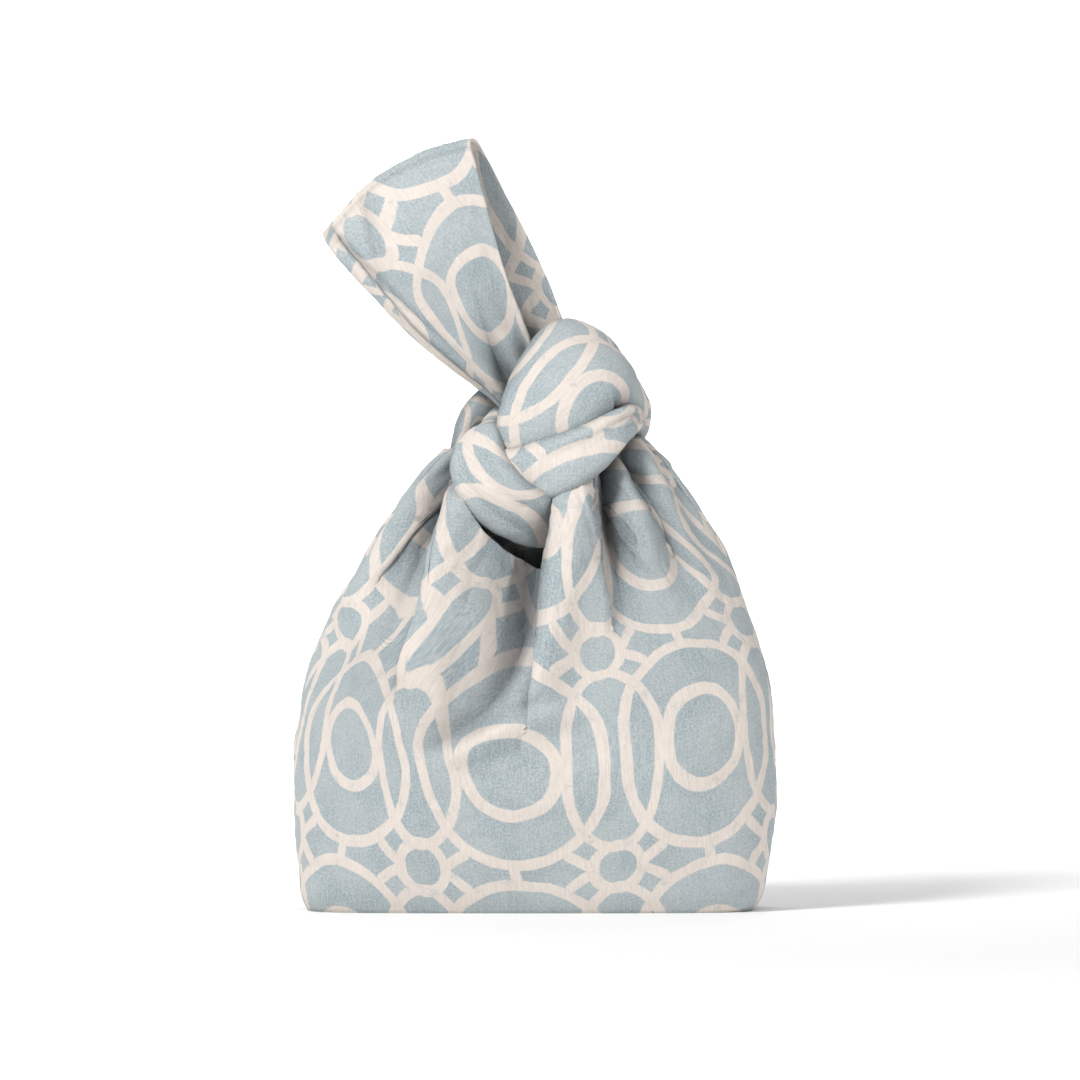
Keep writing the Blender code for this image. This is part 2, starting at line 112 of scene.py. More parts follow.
# The section of a pleat, from its lower layer to its upper one: how far under the edge,
# as a share of the hidden width, how far past the edge, as a share of its roundness,
# and what share of the lift.
PLEAT_SECTION = (
    (0.0, -0.6, 0.0), (0.6, 0.0, 0.0), (1.0, 0.0, 0.05), (1.0, 0.5, 0.2), (1.0, 0.0, 0.32),
    (0.5, 0.0, 0.38), (0.0, 0.0, 0.44), (0.0, -0.8, 0.56), (0.0, -1.0, 0.74),
    (0.0, -0.6, 0.92), (0.0, 0.8, 1.0),
)

# How round a pleat's edge is, how many rows of its section pass the print that it skips, how
# wide it lies open, over what height it closes, where and by what share it narrows under the
# knot, how far beside it the cloth is lifted, and how far beside it shade is painted.
PLEAT_ROUND = 0.35
PLEAT_SHOWS = 6
PLEAT_OPEN = 16
PLEAT_FADE = 34
PLEAT_FLATTENS = 222
PLEAT_NARROWS = 0.85
PLEAT_SPREAD = 16
PLEAT_SHADE = 5

# Its lift is less high up. Columns are counted at SPAN_HEIGHT, and the skipped print grows
# up to SKIP_TOP.
LIFT_LESS = 0.5
LIFT_LESS_FROM = 195
LIFT_LESS_OVER = 45
SPAN_HEIGHT = 150
SKIP_TOP = 250
SKIP_SOON = 0.75

# The printed trellis: how far apart its large rings stand, and the centre lines
# and half widths of what is drawn round them.
PITCH_U = 112.6
PITCH_V = 120.7
LINE_HALF = 3.15
BIG_RING = (50.5, 54.6)
INNER_RING = 24.8
INNER_HALF = 3.5
OVAL = (26.8, 47.2)
SMALL_RING = 14.2
STRUT_START = (14.0, 1.2)
STRUT_END = (26.8, 9.9)
BAR_LONG = 5

# The height of the back's lowest large rings, and how far the front's first guess is moved
# from there, across and up.
PRINT_START = 40
FRONT_PRINT = (11, -42)

# Colours of the print, the colour that painted shade darkens it towards, and the pitch
# of the threads.
GROUND = (0.385, 0.425, 0.435, 1)
GROUND_DEEP = (0.27, 0.335, 0.365, 1)
GROUND_PALE = (0.51, 0.535, 0.535, 1)
CREAM = (0.70, 0.635, 0.58, 1)
CREAM_DULL = (0.60, 0.545, 0.495, 1)
FLECK = (0.20, 0.24, 0.26, 1)
PAINTED_SHADE_COLOUR = (0.30, 0.31, 0.33, 1)
THREAD = 0.8

# How fine the linen's noises are over the flat cloth, in turns a millimetre.
MOTTLE_FINE = 0.035
WEAR_FINE = 0.8
PATCH_FINE = 0.09
SLUB_FINE = (1.1, 0.10)
CROSS_FINE = (0.14, 1.3)

# Unevenness of each colour: the noise, how steeply it comes in and from where, how much of
# it shows and the colour that it adds.
Tint = namedtuple("Tint", "noise steep start share colour")
GROUND_TINTS = (
    Tint("slub", 4.5, 1.85, 0.5, GROUND_PALE),
    Tint("cross", 4.5, 1.95, 0.35, GROUND_DEEP),
    Tint("rough", 6.0, 2.6, 0.65, GROUND_PALE),
    Tint("wear", 6.0, 2.8, 0.5, GROUND_DEEP),
)
CREAM_TINTS = (
    Tint("slub", 4.0, 1.7, 0.7, CREAM_DULL),
    Tint("wear", 6.0, 2.9, 0.35, CREAM_DULL),
)

# How far the print drifts from its true lines, how rough and how sharp its edges are.
DRIFT = 5
EDGE_ROUGH = 1.6
EDGE_SHARP = 2.0


def table(row, *rows):
    """The rows of a table, each with the names of its columns."""
    return [row(*values) for values in rows]


# Outline of the walls at each height: the side seams, the depth of the front and
# the back, and how square the section is (2 is an ellipse).
Section = namedtuple("Section", "z left right front back square")
WALL = table(Section,
    (0, -132.5, 126.5, 50, 50, 4.6),
    (6, -135.5, 130.5, 54, 54, 4.4),
    (22, -137.5, 134.5, 60, 61, 3.6),
    (57, -140.0, 139.5, 67, 68, 2.8),
    (86, -140.0, 140.0, 69, 69.5, 2.5),
    (118, -137.0, 137.5, 68, 67, 2.3),
    (145, -130.5, 132.5, 65, 63, 2.2),
    (171, -119.5, 125.0, 60, 58, 2.1),
    (197, -105.0, 115.5, 54, 52, 2.1),
    (223, -89.0, 102.0, 46, 45, 2.1),
    (250, -69.0, 83.5, 37, 37, 2.1),
    (261, -60.0, 77.0, 32, 33, 2.1),
    (270, -49.5, 66.0, 28, 30, 2.1),
    (278, -38.0, 57.0, 24, 26, 2.1),
)

# Folds and dents of a panel, each along a curve (0 is the start, 1 the pull, 2 the
# end). rise is how far it stands out, head the share of that at the start, and
# left and right are its widths on either side.
Fold = namedtuple("Fold", "name x0 z0 x1 z1 x2 z2 rise head left right spread")
FRONT_FOLDS = table(Fold,
    ("left_side", -50, 266, -82, 227, -114, 158, 9, 1, 6, 7, 1.9),
    ("left_valley", -49, 256, -60, 224, -90, 150, -17, 1, 6, 4, 2.0),
    ("left_small", -60, 240, -71, 205, -94, 148, 5, 0, 4, 4, 1.7),
    ("left_leg", -43, 250, -46, 196, -80, 118, 18, 0.7, 8, 16, 1.6),
    ("cowl", 1, 204, -2, 118, -52, 105, -24, 1, 19, 4, 1.2),
    ("cowl_floor", -68, 90, -40, 108, 14, 126, -11, 0, 4, 10, 1.0),
    ("cowl_rim", -8, 110, -38, 102, -60, 82, 11, 0.3, 5, 10, 1.0),
    ("middle_column", 24, 250, 20, 180, -6, 104, 14, 0.5, 13, 11, 1.6),
    ("middle_valley", 39, 258, 43, 208, 57, 152, -21, 1, 4, 7, 2.0),
    ("right_roll", 46, 262, 60, 226, 80, 158, 13, 0.8, 9, 7, 2.0),
    ("right_valley", 50, 264, 68, 233, 100, 164, -14, 1, 4, 4, 2.3),
    ("right_small", 57, 270, 78, 234, 106, 168, 9, 1, 5, 4, 2.0),
    ("right_dip", 67, 270, 89, 238, 113, 176, -3, 0.3, 3, 3, 2.0),
    ("left_hollow", -38, 160, -50, 122, -58, 78, -7, 0, 9, 11, 1.2),
)
BACK_FOLDS = table(Fold,
    ("left_leg", -34, 258, -44, 205, -76, 118, 14, 0.7, 10, 9, 1.8),
    ("left_valley", -44, 262, -62, 215, -90, 160, -13, 1, 5, 5, 2.0),
    ("left_side", -54, 262, -80, 224, -108, 160, 5, 1, 6, 6, 1.8),
    ("middle_valley", -4, 203, -8, 150, -22, 100, -13, 1, 14, 16, 1.4),
    ("right_leg", 36, 258, 46, 205, 68, 110, 15, 0.7, 10, 10, 1.8),
    ("right_valley", 54, 264, 68, 215, 92, 150, -15, 1, 5, 5, 2.0),
    ("right_side", 64, 262, 86, 220, 108, 160, 6, 1, 6, 6, 1.8),
    ("low_dent", 20, 120, 30, 100, 42, 66, -4, 0, 12, 12, 1.0),
)

# Pleats of the front, where the cloth laps over itself: the side of the edge that is on
# top (-1 is the left), how much cloth is under it on each layer, how much of the print
# that and the gathers skip, how far the upper layer is lifted, the height at which the
# pleat ends, and the heights and places that its edge passes.
Pleat = namedtuple("Pleat", "name side hides skips lift end way")
FRONT_PLEATS = (
    Pleat("side_left", -1, 6, 12, 4, 176, (
        (0, -114), (100, -112), (178, -97), (210, -77), (226, -66), (245, -53), (256, -46),
        (278, -43))),
    Pleat("leg_left", 1, 8, 36, 7, 112, (
        (0, -86), (90, -85), (132, -78), (147, -73), (168, -65), (185, -60), (200, -57.5),
        (225, -54), (244, -49), (255, -41), (278, -38))),
    Pleat("column_left", 1, 9, 55, 8, 96, (
        (0, -12), (80, -10), (111, -5), (133, 0), (191, 5.5), (238, 13), (278, 16))),
    Pleat("column_right", -1, 8, 36, 6, 150, (
        (0, 62), (100, 58), (150, 50), (165, 44.6), (185, 38.8), (203, 35.5), (226, 34.5),
        (251, 33), (278, 32))),
    Pleat("roll_right", 1, 6, 14, 4, 186, (
        (0, 90), (120, 82), (195, 60), (218, 50.2), (227, 46), (250, 37), (278, 36))),
    Pleat("roll_far", -1, 5, 40, 4, 192, (
        (0, 112), (120, 108), (195, 86), (218, 74.5), (238, 65), (255, 54), (264, 48),
        (278, 46))),
)

# A pleat's columns meet the top edge where the pleat passes this height, and step aside
# there from its lower layer to its upper one.
MOUTH_HEIGHT = 230
MOUTH_STEP = 3
MOUTH_TURN = 0.4
MOUTH_STEEP = 4

# How the folds fade along their curves, how pointed ridges and valleys are, and how many of
# its first stretches a curve runs on before its start.
FOLD_FADE = 1.2
RIDGE_POINTED = 2.0
VALLEY_POINTED = 1.5
CURVE_BEFORE = -9.0

# Small pleats that run down from a place in the knot: how many would go all the way round
# and how high they are, where they start, grow and end, and how they bend.
GATHERS = ((17, 0.9), (29, 0.55), (47, 0.3))
GATHERS_FROM = (6, 300)
GATHERS_START = 30
GATHERS_GROW = 20
GATHERS_REACH = 95
GATHERS_BEND = 38
GATHERS_LEAN = 0.6
FULL_TURN = 6.28

# Waves of loose cloth: how many, how far turned, how long, how high and how much of them.
SLACK_WAVES = 9
SLACK_TURN = 1.2
SLACK_LONG = (38, 95)
SLACK_HIGH = (0.3, 0.75)
SLACK_USED = 0.45

# Dents and creases of washed linen: how wide and high they are, how the dents are mixed from
# finer ones, and how steep the creases are and where they level off.
DENT_WIDE = 26
DENT_HIGH = 0.75
DENT_MIX = (0.8, 2.1, 3)
CRUMPLE_WIDE = 17
CRUMPLE_HIGH = 0.9
CRUMPLE_STEEP = 3.2
CRUMPLE_TOP = 0.5

# Places of the print on the front of the bag and on the handle, in rows and columns of its
# large rings, and how stiffly the print is drawn through them.
PRINT_STIFF = 60
Mark = namedtuple("Mark", "x z column row")
RING_OUT = (BIG_RING[0] + LINE_HALF) / PITCH_U
RING_UP = (BIG_RING[1] + LINE_HALF) / PITCH_V
INNER_OUT = (INNER_RING + INNER_HALF) / PITCH_U
INNER_UP = (INNER_RING + INNER_HALF) / PITCH_V
SMALL_OUT = (SMALL_RING + LINE_HALF) / PITCH_U
SMALL_UP = (SMALL_RING + LINE_HALF) / PITCH_V

# Where a large ring crosses an oval.
CROSS_OUT = 0.341
CROSS_UP = 0.294

FRONT_MARKS = table(Mark,
    (-14.9, 81.7, 0, 0),
    (42.9, 82.8, RING_OUT, 0),
    (-13.1, 25.7, 0, -RING_UP),
    (-14.3, 109.4, 0, INNER_UP),
    (-14.3, 53.1, 0, -INNER_UP),
    (98.1, 101.2, 1, 0),
    (98.3, 70.7, 1, -INNER_UP),
    (94.8, 131.8, 1, INNER_UP),
    (47.9, 100.9, 1 - RING_OUT, 0),
    (99.5, 39.1, 1, -RING_UP),
    (-105.8, 98.1, -1, 0),
    (-104, 124.9, -1, INNER_UP),
    (-107, 71.3, -1, -INNER_UP),
    (-111, 39.2, -1, -RING_UP),
    (-65, 26.8, -0.5, -0.5),
    (47.5, 28.8, 0.5, -0.5),
    (-10.8, 20.4, 0, RING_UP - 1),
    (104.1, 5.8, 1, INNER_UP - 1),
    (35.9, 149.3, 0.5, 0.5),
    (-94, 148.3, -1, RING_UP),
    (-107.9, 165.5, -1.5, 0.5),
    (-94, 166.6, -1.5 + SMALL_OUT, 0.5),
    (-109.4, 181.4, -1.5, 0.5 + SMALL_UP),
    (-107.9, 152.2, -1.5, 0.5 - SMALL_UP),
    (-37, 176, -0.5, 0.5),
    (120.5, 167.4, 1.5, 0.5),
    (80.8, 159.8, 1, 0.5),
    (59.8, 210.6, 1, 1),
    (58.6, 238, 1, 1 + INNER_UP),
    (61, 258.4, 1.5, 1.5),
)

HANDLE_MARKS = table(Mark,
    (-30.6, 357.3, 0, 0),
    (-34.1, 385.3, 0, INNER_UP),
    (-25.4, 328.9, 0, -INNER_UP),
    (-50.6, 358.9, -INNER_OUT, 0),
    (-11.2, 355.7, INNER_OUT, 0),
    (-51.4, 414, 0, 0.5),
    (-101, 391.1, -0.5, 0.5),
    (-67.6, 369.1, -CROSS_OUT, CROSS_UP),
    (-38, 319.5, -CROSS_OUT, -CROSS_UP),
)

# The top edge of each panel: two legs with the mouth between them.
Edge = namedtuple("Edge", "x z")
FRONT_EDGE = table(Edge,
    (-62, 262), (-49, 269), (-44, 262), (-40, 246), (-33, 226), (-21, 211), (-9, 203),
    (2, 198), (8, 198), (9, 200), (14, 262), (60, 276),
)
BACK_EDGE = table(Edge,
    (-50, 268), (-34, 262), (-24, 240), (-10, 221), (6, 216), (22, 223), (32, 246),
    (38, 262), (60, 276),
)

# A band is a little squarer than an ellipse and rounded at its ends, part of its slant is
# taken out, and shade is painted along its two edges.
BAND_SQUARE = 0.9
BAND_END = 2.2
BAND_SLANT = 0.5
BAND_SHADE = 0.5
BAND_SHADE_FROM = 0.72
BAND_SHADE_SOFT = 1.5

# Turns of a strap round the middle of the knot: one edge of the band, the other
# edge and half its thickness.
KNOT_MIDDLE = np.array((10, 0, 281))
KNOT_REACH = (64, 44)
Turn = namedtuple("Turn", "x0 y0 z0 x1 y1 z1 thick")
SHORT_STRAP = table(Turn,
    (-43, -27, 251, -36, -30, 236, 3),
    (-40, -33, 260.7, -30.4, -37, 236.5, 4),
    (-29.5, -38, 265.4, -17.8, -41, 236.8, 4),
    (-16, -41, 266.6, -3.2, -43, 242.1, 5),
    (-1, -43, 271.5, 11, -45, 239.5, 6),
    (13, -44, 275.5, 22, -47, 243.2, 8),
    (27, -42, 281.5, 34, -46, 251.4, 8),
    (40, -35, 288, 44, -42, 261.3, 8),
    (50, -25, 293, 52, -34, 271, 7),
    (56, -12, 294, 57, -19, 277, 6),
    (58, 3, 295, 58, 1, 277, 6),
    (53, 22, 299, 53, 22, 279, 6),
    (36, 36, 308, 36, 38, 277, 8),
    (14.3, 40, 312, 14.3, 43, 275.2, 8),
    (-7.9, 36, 312, -7.9, 40, 278.3, 8),
    (-24.2, 29, 306.8, -19.5, 30, 284.7, 7),
    (-35.9, 16, 299.8, -27.7, 18, 284.7, 8),
    (-44, 7, 287, -35.9, 10, 278.8, 8),
    (-48.1, 4, 271.8, -39.4, 7, 269.5, 7),
    (-48.7, 5, 256.7, -39.4, 8, 255.5, 5),
)
LONG_STRAP = table(Turn,
    (-19, -24, 255.5, -9, -26, 250.8, 3),
    (-22.2, -30, 268.3, -9, -33, 260.2, 5),
    (-21.9, -31, 283.5, 2.6, -36, 266, 8),
    (-17.8, -29, 300.4, 16, -38, 270.7, 11),
    (-9, -21, 319, 31, -36, 275.5, 16),
    (2, -12, 334, 39, -34, 284, 18),
    (13, -5, 341, 45, -31, 289, 18),
    (26, 0, 334, 52, -26, 290, 16),
    (41, 3, 317, 57, -16, 286, 13),
    (53, 4, 302, 59.5, -8, 281, 11),
    (59.5, 9, 285, 55, 1, 272, 8),
    (54, 18, 270, 43, 13, 271.8, 8),
    (37, 34, 264.8, 36, 32, 289.3, 9),
    (14.3, 40, 262.2, 14.3, 38, 291, 9),
    (-7.9, 36, 270.2, -5.5, 35, 298, 9),
    (-26, 20, 280, -15, 18, 292, 7),
    (-33, -1, 275.5, -20, -5, 283, 6),
    (-38.5, -20, 272, -20.7, -22, 281, 6),
    (-44.5, -33, 268, -20.1, -36, 276.5, 7),
    (-49, -40, 257.2, -17.2, -45, 263.7, 7),
    (-45.8, -44, 242.7, -10.8, -50, 253.7, 7),
    (-38.2, -44, 231, -2.5, -51, 246, 7),
    (-26, -42, 220, 6, -47, 242, 6),
    (-9, -36, 212.5, 13, -38, 240, 6),
    (9, -26, 211, 21, -27, 240, 6),
    (22, -13, 214, 24, -13, 246, 6),
    (28, 0, 222, 22, 2, 254, 6),
)

# The handle loop, from the knot up the front layer, over the crest and down the
# back layer: the two edges of the band and how deep each lies, how far its middle
# bows up, and how far it bows to the front.
Rib = namedtuple("Rib", "xl zl yl xr zr yr up out")
LOOP = table(Rib,
    (-14, 285, -2, 6, 300, -6, 0, 0),
    (-27, 298, -5, 0, 321, -9, 0, 1),
    (-49, 314, -8, -8, 343, -13, 2, 3),
    (-73, 334, -10, -17, 368, -16, 4, 5),
    (-97, 359, -11, -26, 399, -17, 7, 6),
    (-116, 380, -10, -34, 430, -15, 10, 5),
    (-123.5, 392, -4, -38, 447, -6, 11, 0),
    (-121, 392, 6, -33, 446, 6, 10, -2),
    (-103, 372, 14, -17, 416, 11, 6, -1),
    (-74, 348, 16, -2, 387, 11, 3, 0),
    (-42, 328, 14, 11, 356, 10, 1, 0),
    (-12, 312, 10, 18, 332, 9, 0, 0),
    (0, 292, 8, 20, 308, 8, 0, 0),
)

# Puckers of the handle where it leaves the knot: how deep, how many, where they start, over
# which share of the front and the back layer, how soon they grow and how much shade is painted
# on them. Then how deep a valley of the handle is when its painted shade is full.
PUCKER = 5.0
PUCKERS = 1.1
PUCKER_START = 0.6
PUCKER_FRONT = 0.30
PUCKER_BACK = 0.26
PUCKER_SOON = 0.7
PUCKER_SHADE = 0.35
HANDLE_VALLEY = 14
CREST_FADE = 12

# Folds of the handle's front layer.
HANDLE_FOLDS = table(Fold,
    ("crease", -16, 300, -27, 330, -37, 366, -5, 1, 8, 2.5, 1.0),
    ("beside_crease", -24, 304, -38, 330, -50, 372, 3, 1, 7, 7, 1.4),
    ("left_crease", -101, 414, -92, 385, -88, 354, -4, 1, 3, 6, 1.0),
    ("low_roll", -100, 368, -72, 340, -34, 308, 3, 1, 3, 3, 1.0),
    ("low_line", -94, 370, -68, 343, -30, 311, -3, 1, 2, 2, 1.0),
)

# The handle's left edge is rolled in as a narrow hem, and a row of stitches runs under
# its crest. Shade is painted in the hem's groove and along the stitches.
HEM_EDGE = -0.84
HEM_BLEND = 0.03
HEM_SKIP = (38.0, 21.0)
GROOVE_WIDE = 0.03
GROOVE_DEEP = 1.2
GROOVE_SHADE = 0.5
STITCH_BELOW = 5
STITCH_WIDE = 1.2
STITCH_DEEP = 0.5
STITCH_SHADE = 0.25

# Creases of a band: shares of the way along it and across its outer side, from one
# edge to the other, and how deep and wide they are. Then how soon they grow, how pointed
# they are and how much shade is painted in them, and how soon the outer side begins.
Crease = namedtuple("Crease", "start end near far deep wide")
SHORT_CREASES = table(Crease,
    (0.16, 0.46, 0.30, 0.38, 2.6, 0.07),
    (0.24, 0.48, 0.46, 0.52, 2.0, 0.06),
    (0.28, 0.50, 0.62, 0.66, 1.6, 0.06),
    (0.72, 1.00, 0.46, 0.52, 3.0, 0.06),
)
LONG_CREASES = table(Crease,
    (0.16, 0.36, 0.42, 0.30, 1.6, 0.06),
    (0.30, 0.46, 0.62, 0.70, 2.2, 0.07),
    (0.32, 0.46, 0.78, 0.84, 2.0, 0.06),
    (0.72, 0.92, 0.28, 0.34, 1.5, 0.07),
    (0.76, 0.98, 0.70, 0.64, 1.4, 0.06),
)
CREASE_SOON = 0.7
CREASE_POINTED = 1.3
CREASE_SHADE = 0.09
OUTER_SOON = 3

# How the print lies on each part of the knot and the handle: where a large ring has
# its centre, seen from the front, and which way is up in the print.
Patch = namedtuple("Patch", "x z up_x up_z")
HANDLE_PATCH = Patch(-30.2, 356.2, -0.33, 0.944)
HOOD_PATCH = Patch(40, 284, 0.68, 0.73)
TURN_PATCH = Patch(14.6, 323.4, 0.926, -0.378)
LEAF_PATCH = Patch(33, 216, 0, 1)

# The sides of a band that face out, as shares of its girth. The knot's face ends this many
# degrees round from the front, and a band's own print is fitted to the face's there.
OUT_SIDES = (0.33, 0.67)
FACE_END = 85
FACE_BLEND = 30
FACE_FIT = (75, 105)

# Shares of the way along the bands at which the leaf, the hood and the turn end or begin,
# and how far forward, in y, the part of the turn that is seen lies.
LEAF_END = 0.6
LEAF_FADES = 0.55
LEAF_BLEND = 0.1
HOOD_END = 0.5
TURN_STARTS = 0.42
TURN_BLEND = 0.2
TURN_SEEN = 0.7
TURN_FRONT = -40

# The base's middle, and the shares of its outline at which its cloth starts and ends.
BASE_MIDDLE = (-3.0, 0.0)
BASE_REACH = (0.02, 0.985)

# Points this close, in metres, are one point, and no length is taken as less than this.
MERGE = 1e-6
TINY = 1e-6

# The camera stands where the photo's did: level with the middle of the bag.
TARGET = (2.6, 0, 214.7)
CAMERA_DISTANCE = 3500
FRAME_WIDTH = 630
SENSOR = 36

# The studio, in metres: how far out and how high each ring of the floor lies, and the
# lights' places, what they look at, their sizes and their powers in watts.
FLOOR_SIDES = 96
FLOOR_RINGS = ((3.2, 0.0), (3.7, 0.05), (4.1, 0.2), (4.35, 0.5), (4.45, 1.0), (4.45, 1.5))
ROOM_LIGHT = 0.26
LIGHTS = (
    ("window", (-1.5, -1.6, 1.9), (0, 0, 0.22), 0.8, 72),
    ("fill", (1.8, -1.6, 0.7), (0, 0, 0.22), 1.6, 25),
    ("backdrop", (0, 1.6, 2.6), (0, 4.3, 0.5), 2.5, 150),
)


def operator(name):
    """A method of a number that adds the Math node of that name."""
    return lambda number, *others: number.maths(name, number, *others)


class Number:
    """A socket that carries a number, so that shader maths can be written in Python."""

    def __init__(self, cloth, socket):
        self.cloth, self.socket = cloth, socket

    def maths(self, operation, *values, clamp=False):
        settings = {"operation": operation, "use_clamp": clamp}
        node = self.cloth.node("ShaderNodeMath", settings, dict(enumerate(values)))
        return Number(self.cloth, node.outputs[0])

    __add__ = __radd__ = operator("ADD")
    __sub__ = operator("SUBTRACT")
    __mul__ = __rmul__ = operator("MULTIPLY")
    __truediv__ = operator("DIVIDE")
    __mod__ = operator("FLOORED_MODULO")
    __pow__ = operator("POWER")
    __abs__ = operator("ABSOLUTE")
    least = operator("MINIMUM")
    most = operator("MAXIMUM")
    wave = operator("SINE")
    root = operator("SQRT")

    def __rsub__(self, other):
        return self.maths("SUBTRACT", other, self)

    def share(self):
        """The number kept between 0 and 1."""
        return self.maths("ADD", self, 0.0, clamp=True)


class Cloth:
    """A material that is made of nodes."""

    def __init__(self, name):
        self.material = bpy.data.materials.new(name)
        self.material.use_nodes = True
        self.tree = self.material.node_tree
        self.surface = self.tree.nodes["Principled BSDF"]

    def node(self, kind, settings, sockets):
        """A node with its settings, and then the values or links of its sockets."""
        made = self.tree.nodes.new(kind)
        for name, value in settings.items():
            setattr(made, name, value)
        self.fill(made, sockets)
        return made

    def fill(self, made, sockets):
        for name, value in sockets.items():
            if isinstance(value, Number):
                value = value.socket
            if isinstance(value, bpy.types.NodeSocket):
                self.tree.links.new(value, made.inputs[name])
            else:
                made.inputs[name].default_value = value

    def mix(self, share, one, other, blend="MIX"):
        """A colour between two, by a share from 0 to 1."""
        settings = {"data_type": "RGBA", "blend_type": blend}
        return self.node("ShaderNodeMix", settings, {0: share, 6: one, 7: other}).outputs[2]

    def point(self, x, y, z=0.0):
        return self.node("ShaderNodeCombineXYZ", {}, {0: x, 1: y, 2: z}).outputs[0]

    def parts(self, vector):
        """The three numbers of a point or a colour."""
        split = self.node("ShaderNodeSeparateXYZ", {}, {0: vector})
        return [Number(self, socket) for socket in split.outputs]

    def noise(self, place, scale, detail=2.0, roughness=0.5):
        sockets = {"Vector": place, "Scale": scale, "Detail": detail, "Roughness": roughness}
        return self.node("ShaderNodeTexNoise", {}, sockets)


def ellipse_line(x, y, middle, radii, half):
    """How far a point is outside a drawn ellipse, in mm."""
    dx, dy = (x - middle[0]) / radii[0], (y - middle[1]) / radii[1]
    size = (dx * dx + dy * dy).root().most(0.001)
    slope = ((dx / radii[0]) ** 2 + (dy / radii[1]) ** 2).root().most(0.00001)
    return abs((size - 1) * size / slope) - half


def straight_line(x, y, start, end, half):
    """How far a point is outside a drawn bar with round ends, in mm."""
    ex, ey = end[0] - start[0], end[1] - start[1]
    long = ex * ex + ey * ey
    share = ((x - start[0]) * (ex / long) + (y - start[1]) * (ey / long)).share()
    dx, dy = x - start[0] - share * ex, y - start[1] - share * ey
    return (dx * dx + dy * dy).root() - half


def trellis(u, v):
    """How far each point of the cloth is outside the printed lines, in mm."""
    a, b = PITCH_U / 2, PITCH_V / 2
    x, y = abs((u + a) % PITCH_U - a), abs((v + b) % PITCH_V - b)
    out = ellipse_line(x, y, (0, 0), BIG_RING, LINE_HALF)
    out = out.least(ellipse_line(x, y, (0, 0), (INNER_RING, INNER_RING), INNER_HALF))
    out = out.least(ellipse_line(x, y, (a, 0), OVAL, LINE_HALF))
    out = out.least(ellipse_line(x, y, (a, b), (SMALL_RING, SMALL_RING), LINE_HALF))
    start, end = (a - STRUT_START[0], b - STRUT_START[1]), (a - STRUT_END[0], b - STRUT_END[1])
    out = out.least(straight_line(x, y, start, end, LINE_HALF))
    return out.least(straight_line(x, y, (0, b), (0, b - BAR_LONG), LINE_HALF))


def tinted(cloth, colour, tints, noises):
    """A colour with its unevenness laid over it."""
    for tint in tints:
        share = (noises[tint.noise] * tint.steep - tint.start).share() * tint.share
        colour = cloth.mix(share, colour, tint.colour)
    return colour


def printed_linen(name):
    """Blue-grey linen with a cream trellis, slubs, mottling and a worn print."""
    cloth = Cloth(name)
    flat = cloth.node("ShaderNodeUVMap", {"uv_map": "cloth"}, {}).outputs[0]
    u, v = (value * 1000 for value in cloth.parts(flat)[:2])
    place = cloth.point(u, v)
    drift_u, drift_v, mottle = cloth.parts(cloth.noise(place, MOTTLE_FINE, 2.0).outputs[1])
    rough, fleck, wear = cloth.parts(cloth.noise(place, WEAR_FINE, 2.0, 0.6).outputs[1])
    patches = Number(cloth, cloth.noise(place, PATCH_FINE, 2.0, 0.65).outputs[0])
    along, over = (cloth.point(u * fine[0], v * fine[1]) for fine in (SLUB_FINE, CROSS_FINE))
    slub = Number(cloth, cloth.noise(along, 1.0, 1.0).outputs[0])
    cross = Number(cloth, cloth.noise(over, 1.0, 1.0).outputs[0])
    noises = {"slub": slub, "cross": cross, "rough": rough, "wear": wear}

    printed = trellis(u + (drift_u - 0.5) * DRIFT, v + (drift_v - 0.5) * DRIFT)
    outside = printed + (rough - 0.5) * EDGE_ROUGH
    line = (0.5 - outside * EDGE_SHARP).share()
    worn = ((patches - 0.58) * 8).share() * ((wear - 0.42) * 6).share()
    ground = cloth.mix((mottle * 4.0 - 1.4).share(), GROUND_DEEP, GROUND)
    ground = tinted(cloth, ground, GROUND_TINTS, noises)
    cream = tinted(cloth, CREAM, CREAM_TINTS, noises)
    colour = cloth.mix(line * (1 - worn * 0.55), ground, cream)
    colour = cloth.mix(((fleck - 0.68) * 8).share() * 0.4, colour, FLECK)
    # Painted shade: a per-point attribute darkens the colour towards a dark shade colour in laps,
    # valleys and creases, along band edges and under the knot.
    painted_shade = cloth.node("ShaderNodeAttribute", {"attribute_name": "painted_shade"}, {}).outputs[2]
    colour = cloth.mix(painted_shade, colour, PAINTED_SHADE_COLOUR, "MULTIPLY")

    thread = (u * (2 * math.pi / THREAD)).wave() * (v * (2 * math.pi / THREAD)).wave()
    height = thread * 0.12 + slub * 0.3 + cross * 0.25
    bump = cloth.node("ShaderNodeBump", {}, {"Strength": 0.8, "Distance": 0.001, "Height": height})
    cloth.fill(cloth.surface, {
        "Base Color": colour,
        "Roughness": 0.88,
        "Normal": bump.outputs[0],
        "Sheen Weight": 0.10,
        "Sheen Roughness": 0.6,
        "Specular IOR Level": 0.2,
    })
    return cloth.material


